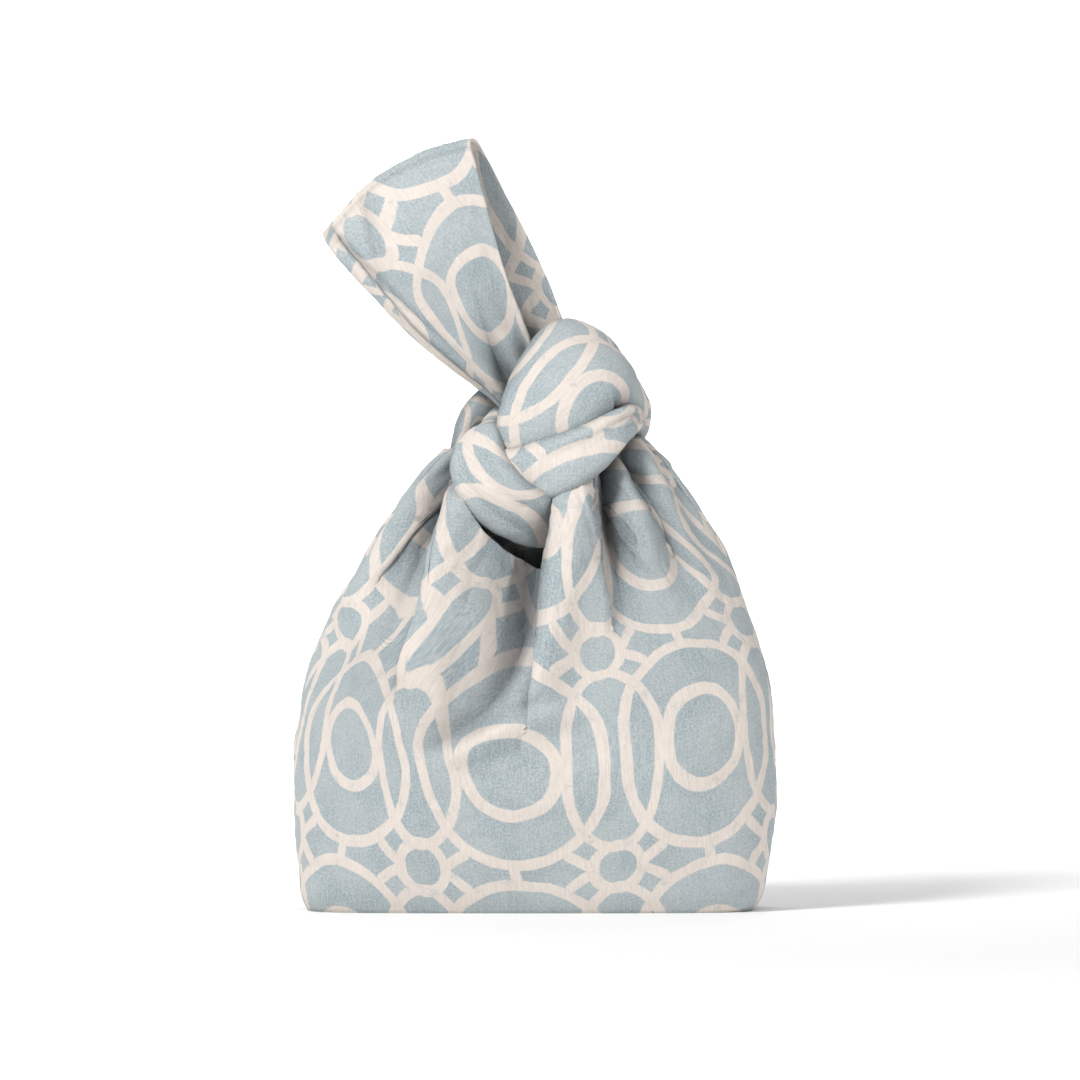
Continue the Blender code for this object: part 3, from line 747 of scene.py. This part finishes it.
def hermite(at, keys, values):
    """Smooth values at the given keys, with no overshoot between the rows of a table."""
    keys, values = np.asarray(keys, float), np.asarray(values, float)
    step = np.diff(keys)
    slope = np.diff(values) / step
    tangent = np.zeros(len(keys))
    tangent[0], tangent[-1] = slope[0], slope[-1]
    inner = (slope[:-1] * step[1:] + slope[1:] * step[:-1]) / (step[1:] + step[:-1])
    limit = 3 * np.minimum(abs(slope[:-1]), abs(slope[1:]))
    tangent[1:-1] = np.where(slope[:-1] * slope[1:] > 0, np.clip(inner, -limit, limit), 0)
    at = np.clip(np.asarray(at, float), keys[0], keys[-1])
    i = np.clip(np.searchsorted(keys, at) - 1, 0, len(step) - 1)
    t = (at - keys[i]) / step[i]
    blend = t * t * (3 - 2 * t)
    lead = t * (1 - t) * (1 - t) * tangent[i] * step[i]
    trail = t * t * (t - 1) * tangent[i + 1] * step[i]
    return values[i] * (1 - blend) + values[i + 1] * blend + lead + trail


def spline(rows, count):
    """Points on a smooth curve through the rows of a table, evenly spaced along it."""
    rows = np.array(rows, float)
    reach = np.linalg.norm(np.diff(rows[:, :3], axis=0), axis=1)
    keys = np.concatenate([[0], np.cumsum(reach)])
    at = np.linspace(0, keys[-1], count)
    before = np.vstack([2 * rows[0] - rows[1], rows[:-1]])
    after = np.vstack([rows[1:], 2 * rows[-1] - rows[-2]])
    keys_before = np.concatenate([[keys[0] - reach[0]], keys[:-1]])
    keys_after = np.concatenate([keys[1:], [keys[-1] + reach[-1]]])
    tangent = (after - before) / (keys_after - keys_before)[:, None]
    i = np.clip(np.searchsorted(keys, at) - 1, 0, len(reach) - 1)
    t = ((at - keys[i]) / reach[i])[:, None]
    h = reach[i][:, None]
    blend = t * t * (3 - 2 * t)
    lead = t * (1 - t) ** 2 * h * tangent[i]
    trail = t * t * (t - 1) * h * tangent[i + 1]
    return rows[i] * (1 - blend) + rows[i + 1] * blend + lead + trail


def section_at(z):
    """Each column of the wall table at the given heights."""
    keys, *columns = zip(*WALL)
    return [hermite(z, keys, column) for column in columns]


def outline_at(z, front):
    """A fine line round one side of the seams at one height, and how far along it is."""
    left, right, fore, aft, square = section_at(z)
    fine = np.linspace(-math.pi, math.pi, OUTLINE_STEPS)
    x = np.sign(np.sin(fine)) * abs(np.sin(fine)) ** (2 / square) * (right - left) / 2
    y = -np.sign(np.cos(fine)) * abs(np.cos(fine)) ** (2 / square)
    y *= np.where(y < 0, fore, aft)
    if not front:
        x, y = -x, -y * np.where(y < 0, aft / fore, fore / aft)
    kept = y < SEAM_Y if front else y > SEAM_Y
    x, y = x[kept] + (left + right) / 2, y[kept]
    length = np.concatenate([[0], np.cumsum(np.hypot(np.diff(x), np.diff(y)))])
    return x, y, length


def eased(share):
    """A share from 0 to 1 that starts and ends softly."""
    share = np.clip(share, 0, 1)
    return share * share * (3 - 2 * share)


def edge_of(pleat, z):
    """Where a pleat's edge lies at a height."""
    return hermite(z, *zip(*pleat.way))


def spans_of(pleats, front):
    """How many columns lie between the seams and the pleats."""
    x, _, length = outline_at(SPAN_HEIGHT, front)
    stops = [0, *(np.interp(edge_of(p, SPAN_HEIGHT), x, length) for p in pleats), length[-1]]
    return [max(int(round(wide * PANEL_COLUMNS / length[-1])), 8) for wide in np.diff(stops)]


def pleat_section(pleat, z):
    """Places of a pleat's columns beside its edge, how far they are lifted, and how much of
    the skipped print they have passed."""
    under, past, lift = np.array(PLEAT_SECTION).T
    at = np.linspace(0, 1, PLEAT_COLUMNS)
    keys = np.linspace(0, 1, len(PLEAT_SECTION))
    under, past, lift = (hermite(at, keys, part) for part in (under, past, lift))
    closed = eased((z - pleat.end) / PLEAT_FADE)
    round_off = PLEAT_ROUND * pleat.lift
    hidden = pleat.hides * (1 - PLEAT_NARROWS * eased((z - PLEAT_FLATTENS) / TUCK_LONG))
    beside = closed * (under * hidden + past * round_off) + (1 - closed) * (at - 0.5) * PLEAT_OPEN
    shown = np.clip(at * len(keys) / PLEAT_SHOWS, 0, 1)
    if pleat.side < 0:
        beside, lift, shown = -beside[::-1], lift[::-1], 1 - shown[::-1]
    return beside, lift * closed * pleat.lift, shown


def panel_columns(front, pleats):
    """At many heights, for each column of a panel: x, y, the way out, its place round
    the panel, how far it is lifted, how much print is skipped, how much shade is painted on
    it and where it meets the panel's top edge."""
    heights = np.linspace(0, WALL[-1].z, HEIGHT_STEPS)
    spans = spans_of(pleats, front)
    found = []
    for z in heights:
        x, y, length = outline_at(z, front)
        tx, ty = np.gradient(x), np.gradient(y)
        size = np.hypot(tx, ty)
        folded = [pleat_section(p, z) for p in pleats]
        edges = [float(np.interp(edge_of(p, z), x, length)) for p in pleats]
        starts = [0.0] + [edge + part[0][-1] for edge, part in zip(edges, folded)]
        ends = [edge + part[0][0] for edge, part in zip(edges, folded)] + [length[-1]]
        places, first = [], []
        for k, count in enumerate(spans):
            even = np.linspace(starts[k], ends[k], count + 2)
            places.append(even[(1 if k else 0):(-1 if k < len(pleats) else None)])
            if k < len(pleats):
                first.append(sum(len(part) for part in places))
                places.append(edges[k] + folded[k][0])
        place = np.concatenate(places)
        lift, skip, shade = (np.zeros_like(place) for _ in range(3))
        meets = np.interp(place, length, x)
        for p, edge, (beside, raised, shown), start in zip(pleats, edges, folded, first):
            after = start + PLEAT_COLUMNS
            block = slice(start, after)
            above, under = (slice(after, None), slice(None, start))[::p.side]
            closed = eased((z - p.end) / PLEAT_FADE)
            lift[above] += p.lift * closed * np.exp(-((place[above] - edge) / PLEAT_SPREAD) ** 2)
            lift[block] += raised
            # Painted shade on the cloth beside a pleat's edge and on the layers folded under it.
            shade[under] += closed * np.exp(-abs(place[under] - edge) / PLEAT_SHADE)
            shade[block] += closed ** 2 * (1 - raised / p.lift)
            passed = np.zeros_like(place)
            passed[block], passed[after:] = shown, 1
            grown = np.clip((z - p.end) / (SKIP_TOP - p.end), 0, 1) ** SKIP_SOON
            skip += p.skips * eased(grown) * (passed if p.way[0][1] > 0 else passed - 1)
            step = np.linspace(-MOUTH_TURN, 1 - MOUTH_TURN, PLEAT_COLUMNS) * MOUTH_STEEP
            meets[block] = edge_of(p, MOUTH_HEIGHT) + np.clip(step, -1, 1) * MOUTH_STEP
        found.append([
            np.interp(place, length, x), np.interp(place, length, y),
            np.interp(place, length, ty / size), np.interp(place, length, -tx / size),
            place - length[-1] / 2, lift, skip, shade, meets,
        ])
    return heights, np.moveaxis(np.array(found), 1, 0)


def along_curve(x, z, f):
    """How far each point is from a fold's curve, on which side, and how far along it."""
    t = np.linspace(0, 1, CURVE_STEPS)
    cx = (1 - t) ** 2 * f.x0 + 2 * t * (1 - t) * f.x1 + t * t * f.x2
    cz = (1 - t) ** 2 * f.z0 + 2 * t * (1 - t) * f.z1 + t * t * f.z2
    best = np.full(x.shape, np.inf)
    along, side = np.zeros_like(x), np.zeros_like(x)
    for k in range(len(t) - 1):
        dx, dz = cx[k + 1] - cx[k], cz[k + 1] - cz[k]
        low = CURVE_BEFORE if k == 0 else 0.0
        share = np.clip(((x - cx[k]) * dx + (z - cz[k]) * dz) / (dx * dx + dz * dz), low, 1)
        px, pz = x - cx[k] - share * dx, z - cz[k] - share * dz
        away = np.hypot(px, pz)
        near = away < best
        best = np.where(near, away, best)
        along = np.where(near, np.clip(t[k] + share * (t[k + 1] - t[k]), 0, 1), along)
        side = np.where(near, np.sign(dx * pz - dz * px), side)
    return best, side, along


def fold_relief(x, z, folds):
    """How far the folds push the cloth out at each point, and how deep the valleys are."""
    relief, valleys = np.zeros_like(x), np.zeros_like(x)
    for f in folds:
        away, side, along = along_curve(x, z, f)
        width = np.where(side > 0, f.right, f.left) * (1 + (f.spread - 1) * along)
        rise = f.head + (1 - f.head) * np.sin(np.minimum(along * 2, 1) * math.pi / 2)
        fade = np.cos(along * math.pi / 2) ** FOLD_FADE
        pointed = RIDGE_POINTED if f.rise > 0 else VALLEY_POINTED
        bump = f.rise * rise * fade * np.exp(-((away / width) ** pointed))
        relief += bump
        valleys -= np.minimum(bump, 0)
    return relief, valleys


def gathers(x, z, seed):
    """Small soft pleats that run down from the knot and fade out."""
    rng = np.random.default_rng(seed)
    dx, dz = x - GATHERS_FROM[0], GATHERS_FROM[1] - z
    reach = np.hypot(dx, dz)
    turn = np.arctan2(dx, dz)
    past = reach - GATHERS_START
    fade = np.clip(past / GATHERS_GROW, 0, 1) * np.exp(-(past / GATHERS_REACH) ** 2)
    pleats = np.zeros_like(x)
    for count, size in GATHERS:
        phase, lean = rng.uniform(0, FULL_TURN), rng.uniform(-GATHERS_LEAN, GATHERS_LEAN)
        ripple = np.sin(turn * count + phase + lean * np.sin(reach / GATHERS_BEND + phase))
        pleats += size * (1 - 2 * abs(ripple) ** 1.4)
    return pleats * fade


def slack(x, z, seed):
    """Long shallow waves of loose cloth."""
    rng = np.random.default_rng(seed)
    waves = np.zeros_like(x)
    for _ in range(SLACK_WAVES):
        turn, long = rng.uniform(-SLACK_TURN, SLACK_TURN), rng.uniform(*SLACK_LONG)
        phase = rng.uniform(0, FULL_TURN)
        along = (x * math.cos(turn) + z * math.sin(turn)) * 2 * math.pi / long
        bent = along + phase + 0.7 * np.sin(along * 0.37 + phase)
        waves += rng.uniform(*SLACK_HIGH) * np.sin(bent)
    return waves * SLACK_USED


def printed_at(x, z, u, v, marks):
    """Places in the print, from first guesses, drawn smoothly through the marks."""
    spots = np.array([(m.x, m.z) for m in marks])
    wanted = np.array([(m.column * PITCH_U, m.row * PITCH_V) for m in marks])
    guess = []
    for m in marks:
        near = np.argmin((x - m.x) ** 2 + (z - m.z) ** 2)
        guess.append((u.flat[near], v.flat[near]))

    def pull(away):
        return np.where(away > 0, away ** 2 * np.log(np.maximum(away, TINY)), 0)

    count = len(spots)
    apart = np.linalg.norm(spots[:, None] - spots[None], axis=2)
    plane = np.hstack([np.ones((count, 1)), spots])
    stiff = np.zeros((count + 3, count + 3))
    stiff[:count, :count] = pull(apart) + np.eye(count) * PRINT_STIFF
    stiff[:count, count:], stiff[count:, :count] = plane, plane.T
    weights = np.linalg.solve(stiff, np.vstack([wanted - np.array(guess), np.zeros((3, 2))]))
    places = np.stack([x.ravel(), z.ravel()], axis=1)
    fixed = np.hstack([np.ones((len(places), 1)), places]) @ weights[count:]
    for k in range(count):
        fixed += pull(np.linalg.norm(places - spots[k], axis=1))[:, None] * weights[k]
    return u + fixed[:, 0].reshape(x.shape), v + fixed[:, 1].reshape(x.shape)


def lattice(points, patch):
    """Places in the print of points seen from the front."""
    dx, dz = points[..., 0] - patch.x, points[..., 2] - patch.z
    return np.stack([dx * patch.up_z - dz * patch.up_x, dx * patch.up_x + dz * patch.up_z], axis=-1)


def rolled(points, patch):
    """Places in the print of the knot's round face, and how far round each point is."""
    reach, depth = KNOT_REACH
    dx, dy, dz = np.moveaxis(points - KNOT_MIDDLE, -1, 0)
    away = np.maximum(np.hypot(dx, dz), TINY)
    turned = np.arctan2(away, -dy * reach / depth)
    grow = reach * turned / away
    flat = np.stack([dx * grow, 0 * dy, dz * grow], axis=-1) + KNOT_MIDDLE
    return lattice(flat, patch), turned


def lying_as(prints, wanted, seen):
    """A band's own print, turned and moved to lie as wanted where it is seen."""
    first, last = (int(prints.shape[1] * share) for share in OUT_SIDES)
    seen = seen.copy()
    seen[:, :first] = False
    seen[:, last:] = False

    def terms(own):
        return np.concatenate([np.ones(own.shape[:-1] + (1,)), own], axis=-1)

    fit = np.linalg.lstsq(terms(prints[seen]), wanted[seen], rcond=None)[0]
    return terms(prints) @ fit


def face_print(prints, points, patch, part, past=0):
    """The patch's print over the knot's face, and the band's own print behind it and past it."""
    front, turned = rolled(points, patch)
    side = np.degrees(turned)
    behind = lying_as(prints, front, part & (side > FACE_FIT[0]) & (side < FACE_FIT[1]))
    share = np.maximum(np.clip((side - FACE_END) / FACE_BLEND, 0, 1), past)[..., None]
    return front * (1 - share) + behind * share


def outward(points, towards):
    """Unit normals of a grid of points, on the side that faces away from a place."""
    normal = np.cross(np.gradient(points, axis=1), np.gradient(points, axis=0))
    normal /= np.maximum(np.linalg.norm(normal, axis=2), 1e-9)[..., None]
    return normal * np.sign((normal * towards).sum())


def crumple(points, seed):
    """Small uneven creases and dents of washed linen, in mm."""
    flat = points.reshape(-1, 3)
    shift = Vector((seed * 13.7, seed * 5.1, seed * 9.3))
    soft, sharp = [], []
    for place in flat:
        place = Vector(place)
        soft.append(noise.fractal(place / DENT_WIDE + shift, *DENT_MIX))
        sharp.append(abs(noise.noise(place / CRUMPLE_WIDE - shift)))
    creases = np.minimum(np.array(sharp) * CRUMPLE_STEEP, CRUMPLE_TOP) * CRUMPLE_HIGH
    return (np.array(soft) * DENT_HIGH + creases).reshape(points.shape[:2])


def panel_cloth(front):
    """Points of a panel, row by row from the floor to its top edge, and its print."""
    folds, edge = (FRONT_FOLDS, FRONT_EDGE) if front else (BACK_FOLDS, BACK_EDGE)
    heights, fields = panel_columns(front, FRONT_PLEATS if front else ())
    each = range(fields.shape[2])
    top = np.full(len(each), EDGE_GUESS)
    for _ in range(EDGE_ROUNDS):
        meets = np.array([np.interp(top[c], heights, fields[-1][:, c]) for c in each])
        top = 0.5 * top + 0.5 * hermite(meets, *zip(*edge))
    z = (np.linspace(0, 1, PANEL_ROWS) ** ROWS_CLOSER)[:, None] * top[None, :]
    x, y, out_x, out_y, u, lift, skip, shade = (
        np.stack([np.interp(z[:, c], heights, field[:, c]) for c in each], axis=1)
        for field in fields[:-1])
    apart = abs(u).max(axis=1, keepdims=True) - abs(u)
    calm = eased(apart / FOLDS_END)
    ground = np.minimum(1, z / FOLDS_GROW)
    tucked = np.clip((top - TUCK_TOP) / TUCK_BLEND, 0, 1)
    start = TUCK_LEAN * np.clip(x - TUCK_LEAN_FROM, 0, TUCK_LEAN_OVER)
    tucked = tucked * eased((z - TUCK_START - start) / TUCK_LONG)
    middle = np.exp(-((x - KNOT_X) / KNOT_WIDE) ** 2)
    relief, valleys = fold_relief(x, z, folds)
    lift *= 1 - LIFT_LESS * eased((z - LIFT_LESS_FROM) / LIFT_LESS_OVER)
    relief = (relief + lift) * ground * calm * (1 - TUCK_FLAT * tucked)
    waves = gathers(x, z, 5 + front) + slack(x, z, 20 + front)
    relief += waves * ground * (WAVES_AT_SEAM + (1 - WAVES_AT_SEAM) * calm)
    relief -= SEAM_DEEP * np.exp(-((apart / SEAM_WIDE) ** 2)) * ground
    points = np.stack([x + relief * out_x, y + relief * out_y, z], axis=-1)
    normal = outward(points, (0, -1 if front else 1, 0))
    normal[..., 2] *= ground
    dents = crumple(points, 1 + front) * ground * (1 - TUCK_SMOOTH * tucked)
    points += normal * dents[..., None]
    inward = tucked * (TUCK_IN + TUCK_MIDDLE * middle) * eased(apart / TUCK_SEAM)
    inward = inward * (1 - eased((x - TUCK_ENDS) / TUCK_ENDS_OVER))
    points[..., 1] += inward if front else -inward
    # Painted shade under the knot, in the laps and in the valleys of the panel.
    under_knot = tucked * KNOT_SHADE * (KNOT_SHADE_BESIDE + (1 - KNOT_SHADE_BESIDE) * middle)
    painted_shade = shade * LAP_SHADE + valleys * calm / VALLEY_FULL + under_knot

    u = u * (1 if front else -1) + skip
    v = z - PRINT_START
    if front:
        u, v = printed_at(x, z, u + FRONT_PRINT[0], v + FRONT_PRINT[1], FRONT_MARKS)
    return points, np.stack([u, v], axis=-1), painted_shade


def band_cloth(rows, creases, steps, sides):
    """A band that winds round the knot: its points, its print and the shade painted on it."""
    turns = np.array(rows)
    one, other = turns[:, :3], turns[:, 3:6]
    line = spline(np.hstack([(one + other) / 2, (one - other) / 2, turns[:, 6:]]), steps)
    place, half = line[:, :3], line[:, 3:6]
    ahead = np.gradient(place, axis=0)
    pace = np.linalg.norm(ahead, axis=1)
    ahead /= pace[:, None]
    half = half - (half * ahead).sum(1)[:, None] * ahead * BAND_SLANT
    wide = np.linalg.norm(half, axis=1)
    across = half / wide[:, None]
    out = np.cross(ahead, across)
    out /= np.linalg.norm(out, axis=1)[:, None]
    if (out * (place - KNOT_MIDDLE)).sum() < 0:
        out = -out
    end = np.linspace(0, 1, steps)
    reach = np.minimum(end, 1 - end) * steps / BAND_END
    close = np.where(reach >= 1, 1, np.sqrt(np.maximum(0, 1 - (1 - reach) ** 2)))
    turn = np.linspace(-math.pi / 2, math.pi * 3 / 2, sides)
    a = np.sign(np.cos(turn)) * abs(np.cos(turn)) ** BAND_SQUARE
    b = np.sign(np.sin(turn)) * abs(np.sin(turn)) ** BAND_SQUARE
    ring = (
        across[:, None] * (wide * close)[:, None, None] * a[None, :, None]
        + out[:, None] * (line[:, 6] * close)[:, None, None] * b[None, :, None]
    )
    points = place[:, None] + ring
    normal = outward(points, points - KNOT_MIDDLE)
    points += normal * crumple(points, 4)[..., None]
    over, along = (1 - a) / 2, end[:, None]
    from_knot = points - KNOT_MIDDLE
    facing = (normal * from_knot).sum(axis=2) / np.linalg.norm(from_knot, axis=2)
    outer = np.clip(facing * OUTER_SOON, 0, 1)
    # Painted shade along the band's two edges, and further down in its creases.
    edges = np.clip((abs(a) - BAND_SHADE_FROM) / (1 - BAND_SHADE_FROM), 0, 1)
    painted_shade = BAND_SHADE * edges ** BAND_SHADE_SOFT + 0 * along
    for c in creases:
        share = np.clip((along - c.start) / (c.end - c.start), 0, 1)
        window = np.sin(share * math.pi) ** CREASE_SOON * outer
        away = abs(over - c.near - (c.far - c.near) * share) / c.wide
        dent = np.exp(-away ** CREASE_POINTED) * window
        points -= normal * (c.deep * dent)[..., None]
        painted_shade += dent * c.deep * CREASE_SHADE
    points[:, -1] = points[:, 0]
    girth = np.concatenate([np.zeros((steps, 1)), np.cumsum(
        np.linalg.norm(np.diff(points, axis=1), axis=2), axis=1)], axis=1)
    u = girth - girth[:, sides // 2:sides // 2 + 1]
    v = np.repeat(np.cumsum(pace)[:, None], sides, axis=1)
    return points, np.stack([u, v], axis=-1), painted_shade


def loop_cloth():
    """The handle loop's middle surface, its print and the shade painted on it."""
    ribs = np.array(LOOP)
    left, right = ribs[:, [0, 2, 1]], ribs[:, [3, 5, 4]]
    line = spline(np.hstack([(left + right) / 2, (right - left) / 2, ribs[:, 6:]]), LOOP_STEPS)
    across = np.linspace(-1, 1, LOOP_COLUMNS)
    points = line[:, None, :3] + across[None, :, None] * line[:, None, 3:6]
    bow = 1 - across[None, :] ** 2
    wide = np.hypot(line[:, 3], line[:, 5])
    points[..., 0] -= bow * (line[:, 6] * line[:, 5] / wide)[:, None]
    points[..., 2] += bow * (line[:, 6] * line[:, 3] / wide)[:, None]
    points[..., 1] -= bow * line[:, 7][:, None]
    end = np.linspace(0, 1, LOOP_STEPS)
    near_knot = np.maximum(1 - end / PUCKER_FRONT, 0) ** PUCKER_SOON
    near_knot += np.maximum(1 - (1 - end) / PUCKER_BACK, 0) ** PUCKER_SOON
    ripple = np.cos(across[None, :] * PUCKERS * 2 * math.pi + PUCKER_START)
    points[..., 1] += PUCKER * near_knot[:, None] * ripple
    plain = lattice(points, HANDLE_PATCH)
    u, v = printed_at(points[..., 0], points[..., 2], plain[..., 0], plain[..., 1], HANDLE_MARKS)
    prints = np.stack([u, v], axis=-1)
    crest = np.argmax(line[:, 2])
    prints[crest:] = plain[crest:] + prints[crest] - plain[crest]
    relief, valleys = fold_relief(points[..., 0], points[..., 2], HANDLE_FOLDS)
    front = np.clip((crest - np.arange(LOOP_STEPS)) / CREST_FADE, 0, 1)[:, None]
    points[..., 1] -= relief * front
    hem = eased((HEM_EDGE - across) / HEM_BLEND)[None, :] * front
    groove = np.exp(-((across - HEM_EDGE) / GROOVE_WIDE) ** 2)[None, :] * front
    below = (line[crest, 2] - line[:, 2]) * (np.arange(LOOP_STEPS) < crest)
    stitched = np.exp(-((below - STITCH_BELOW) / STITCH_WIDE) ** 2)[:, None]
    points[..., 1] += GROOVE_DEEP * groove + STITCH_DEEP * stitched
    # Painted shade in the handle's valleys, near the knot, in the hem's groove and along the
    # stitches.
    painted_shade = valleys * front / HANDLE_VALLEY + PUCKER_SHADE * near_knot[:, None] ** 2
    painted_shade = painted_shade + GROOVE_SHADE * groove + STITCH_SHADE * stitched
    prints[crest:, :, 1] = 2 * prints[crest, :, 1] - prints[crest:, :, 1]
    prints += np.array(HEM_SKIP) * hem[..., None]
    points += outward(points, (0, -1, 0)) * crumple(points, 7)[..., None]
    return points, prints, painted_shade


def placed(name, data):
    """A new object in the scene."""
    made = bpy.data.objects.new(name, data)
    bpy.context.scene.collection.objects.link(made)
    return made


def facing_out(mesh, outside):
    """Turns an open sheet's faces so that its first side looks along outside."""
    total = Vector((0, 0, 0))
    for face in mesh.polygons:
        total += face.normal * face.area
    if total.dot(Vector(outside)) < 0:
        mesh.flip_normals()


def short_strap():
    """The knot's ring: its points, its print and the shade painted on it."""
    points, prints, painted_shade = band_cloth(SHORT_STRAP, SHORT_CREASES, SHORT_STEPS, BAND_SIDES)
    share = np.linspace(0, 1, SHORT_STEPS)[:, None] + 0 * points[..., 0]
    past = np.clip((share - LEAF_FADES) / LEAF_BLEND, 0, 1)
    return points, face_print(prints, points, LEAF_PATCH, share < LEAF_END, past), painted_shade


def long_strap():
    """The knot's hood and the turn from it into the mouth, with their print and painted shade."""
    points, prints, painted_shade = band_cloth(LONG_STRAP, LONG_CREASES, LONG_STEPS, BAND_SIDES)
    share = np.linspace(0, 1, LONG_STEPS)[:, None] + 0 * points[..., 0]
    hood = face_print(prints, points, HOOD_PATCH, share < HOOD_END)
    seen = (points[..., 1] < TURN_FRONT) & (share > TURN_SEEN)
    turn = lying_as(prints, lattice(points, TURN_PATCH), seen)
    turned = np.clip((share - TURN_STARTS) / TURN_BLEND, 0, 1)[..., None]
    return points, hood * (1 - turned) + turn * turned, painted_shade


def cloth_sheet(name, cloth, thickness=0, offset=0, outside=None, wrap=False):
    """A grid whose points take the places given, with print, painted shade and a thickness."""
    points, prints, painted_shade = cloth
    rows, columns = points.shape[:2]
    mesh = bpy.data.meshes.new(name)
    shape = bmesh.new()
    bmesh.ops.create_grid(shape, x_segments=columns - 1, y_segments=rows - 1, size=1)
    places, flat = points.reshape(-1, 3) * MM, prints.reshape(-1, 2) * MM
    layer = shape.loops.layers.uv.new("cloth")
    for vertex, place in zip(shape.verts, places):
        vertex.co = place
    shape.verts.index_update()
    for face in shape.faces:
        for loop in face.loops:
            loop[layer].uv = flat[loop.vert.index]
    # Each point carries how much shade is painted on it, as an attribute that the linen reads.
    depth = shape.verts.layers.float.new("painted_shade")
    for vertex, value in zip(shape.verts, np.clip(painted_shade, 0, 1).ravel()):
        vertex[depth] = value
    if wrap:
        bmesh.ops.remove_doubles(shape, verts=shape.verts, dist=MERGE)
    bmesh.ops.recalc_face_normals(shape, faces=shape.faces)
    shape.to_mesh(mesh)
    shape.free()
    mesh.shade_smooth()
    if outside:
        facing_out(mesh, outside)
    piece = placed(name, mesh)
    if thickness:
        wall = piece.modifiers.new("cloth", "SOLIDIFY")
        wall.thickness = thickness * MM
        wall.offset = offset
        wall.use_even_offset = False
    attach(piece, "root")
    return piece


def base_sheet():
    """The boxed base: flat cloth that fills the walls' foot."""
    lines = []
    for front in (True, False):
        x, y, length = outline_at(0, front)
        even = np.linspace(0, length[-1], BASE_COLUMNS)
        lines.append(np.stack([np.interp(even, length, x), np.interp(even, length, y)], axis=1))
    outline = np.concatenate(lines)
    middle = np.array(BASE_MIDDLE)
    rows = [middle + (outline - middle) * share for share in np.linspace(*BASE_REACH, BASE_RINGS)]
    points = np.array(rows)
    points = np.concatenate([points, points[:, :1]], axis=1)
    lifted = np.full(points.shape[:2], CLOTH)[..., None]
    return np.concatenate([points, lifted], axis=2), points - middle, 0 * points[..., 0]


def area_light(name, place, aim, size, power):
    data = bpy.data.lights.new(name, "AREA")
    data.shape = "DISK"
    data.size = size
    data.energy = power
    light = placed(name, data)
    light.location = place
    looks = Vector(aim) - Vector(place)
    light.rotation_euler = looks.to_track_quat("-Z", "Y").to_euler()


def studio():
    """A pale floor that curves up behind, soft lights and the camera."""
    shape = bmesh.new()
    reach = FLOOR_RINGS[0][0]
    bmesh.ops.create_circle(shape, cap_ends=True, segments=FLOOR_SIDES, radius=reach)
    rim = [e for e in shape.edges if e.is_boundary]
    for reach, height in FLOOR_RINGS[1:]:
        grown = bmesh.ops.extrude_edge_only(shape, edges=rim)["geom"]
        rim = [e for e in grown if isinstance(e, bmesh.types.BMEdge)]
        for vertex in (v for v in grown if isinstance(v, bmesh.types.BMVert)):
            flat = Vector((vertex.co.x, vertex.co.y, 0)).normalized() * reach
            vertex.co = (flat.x, flat.y, height)
    bmesh.ops.recalc_face_normals(shape, faces=shape.faces)
    mesh = bpy.data.meshes.new("pale_floor")
    shape.to_mesh(mesh)
    shape.free()
    mesh.shade_smooth()
    floor = placed("pale_floor", mesh)
    paper = Cloth("pale_paper")
    paper.fill(paper.surface, {"Base Color": (0.92, 0.92, 0.92, 1), "Roughness": 0.9})
    mesh.materials.append(paper.material)

    world = bpy.data.worlds.new("soft_room")
    world.use_nodes = True
    room = world.node_tree.nodes["Background"]
    room.inputs["Color"].default_value = (1, 1, 1, 1)
    room.inputs["Strength"].default_value = ROOM_LIGHT
    bpy.context.scene.world = world
    for lamp in LIGHTS:
        area_light(*lamp)

    data = bpy.data.cameras.new("camera")
    data.sensor_width = SENSOR
    data.lens = SENSOR * CAMERA_DISTANCE / FRAME_WIDTH
    data.clip_end = 50
    camera = placed("camera", data)
    target = Vector(TARGET) * MM
    camera.location = target + Vector((0, -CAMERA_DISTANCE * MM, 0))
    camera.rotation_euler = (math.pi / 2, 0, 0)
    bpy.context.scene.camera = camera
    bpy.context.scene.view_settings.view_transform = "Standard"


def main():
    studio()
    linen = printed_linen("printed_linen")

    front = cloth_sheet("front_cloth", panel_cloth(True), CLOTH, -1, (0, -1, 0))
    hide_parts("front_panel")
    back = cloth_sheet("back_cloth", panel_cloth(False), CLOTH, -1, (0, 1, 0))
    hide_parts("back_panel")
    base = cloth_sheet("base_cloth", base_sheet(), CLOTH, -1, (0, 0, 1))

    short = cloth_sheet("short_strap_cloth", short_strap(), wrap=True)
    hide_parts("short_strap")
    long = cloth_sheet("long_strap_cloth", long_strap(), wrap=True)
    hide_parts("long_strap")
    loop = cloth_sheet("handle_cloth", loop_cloth(), STRAP_CLOTH)
    for piece in (front, back, base, short, long, loop):
        piece.data.materials.append(linen)


main()
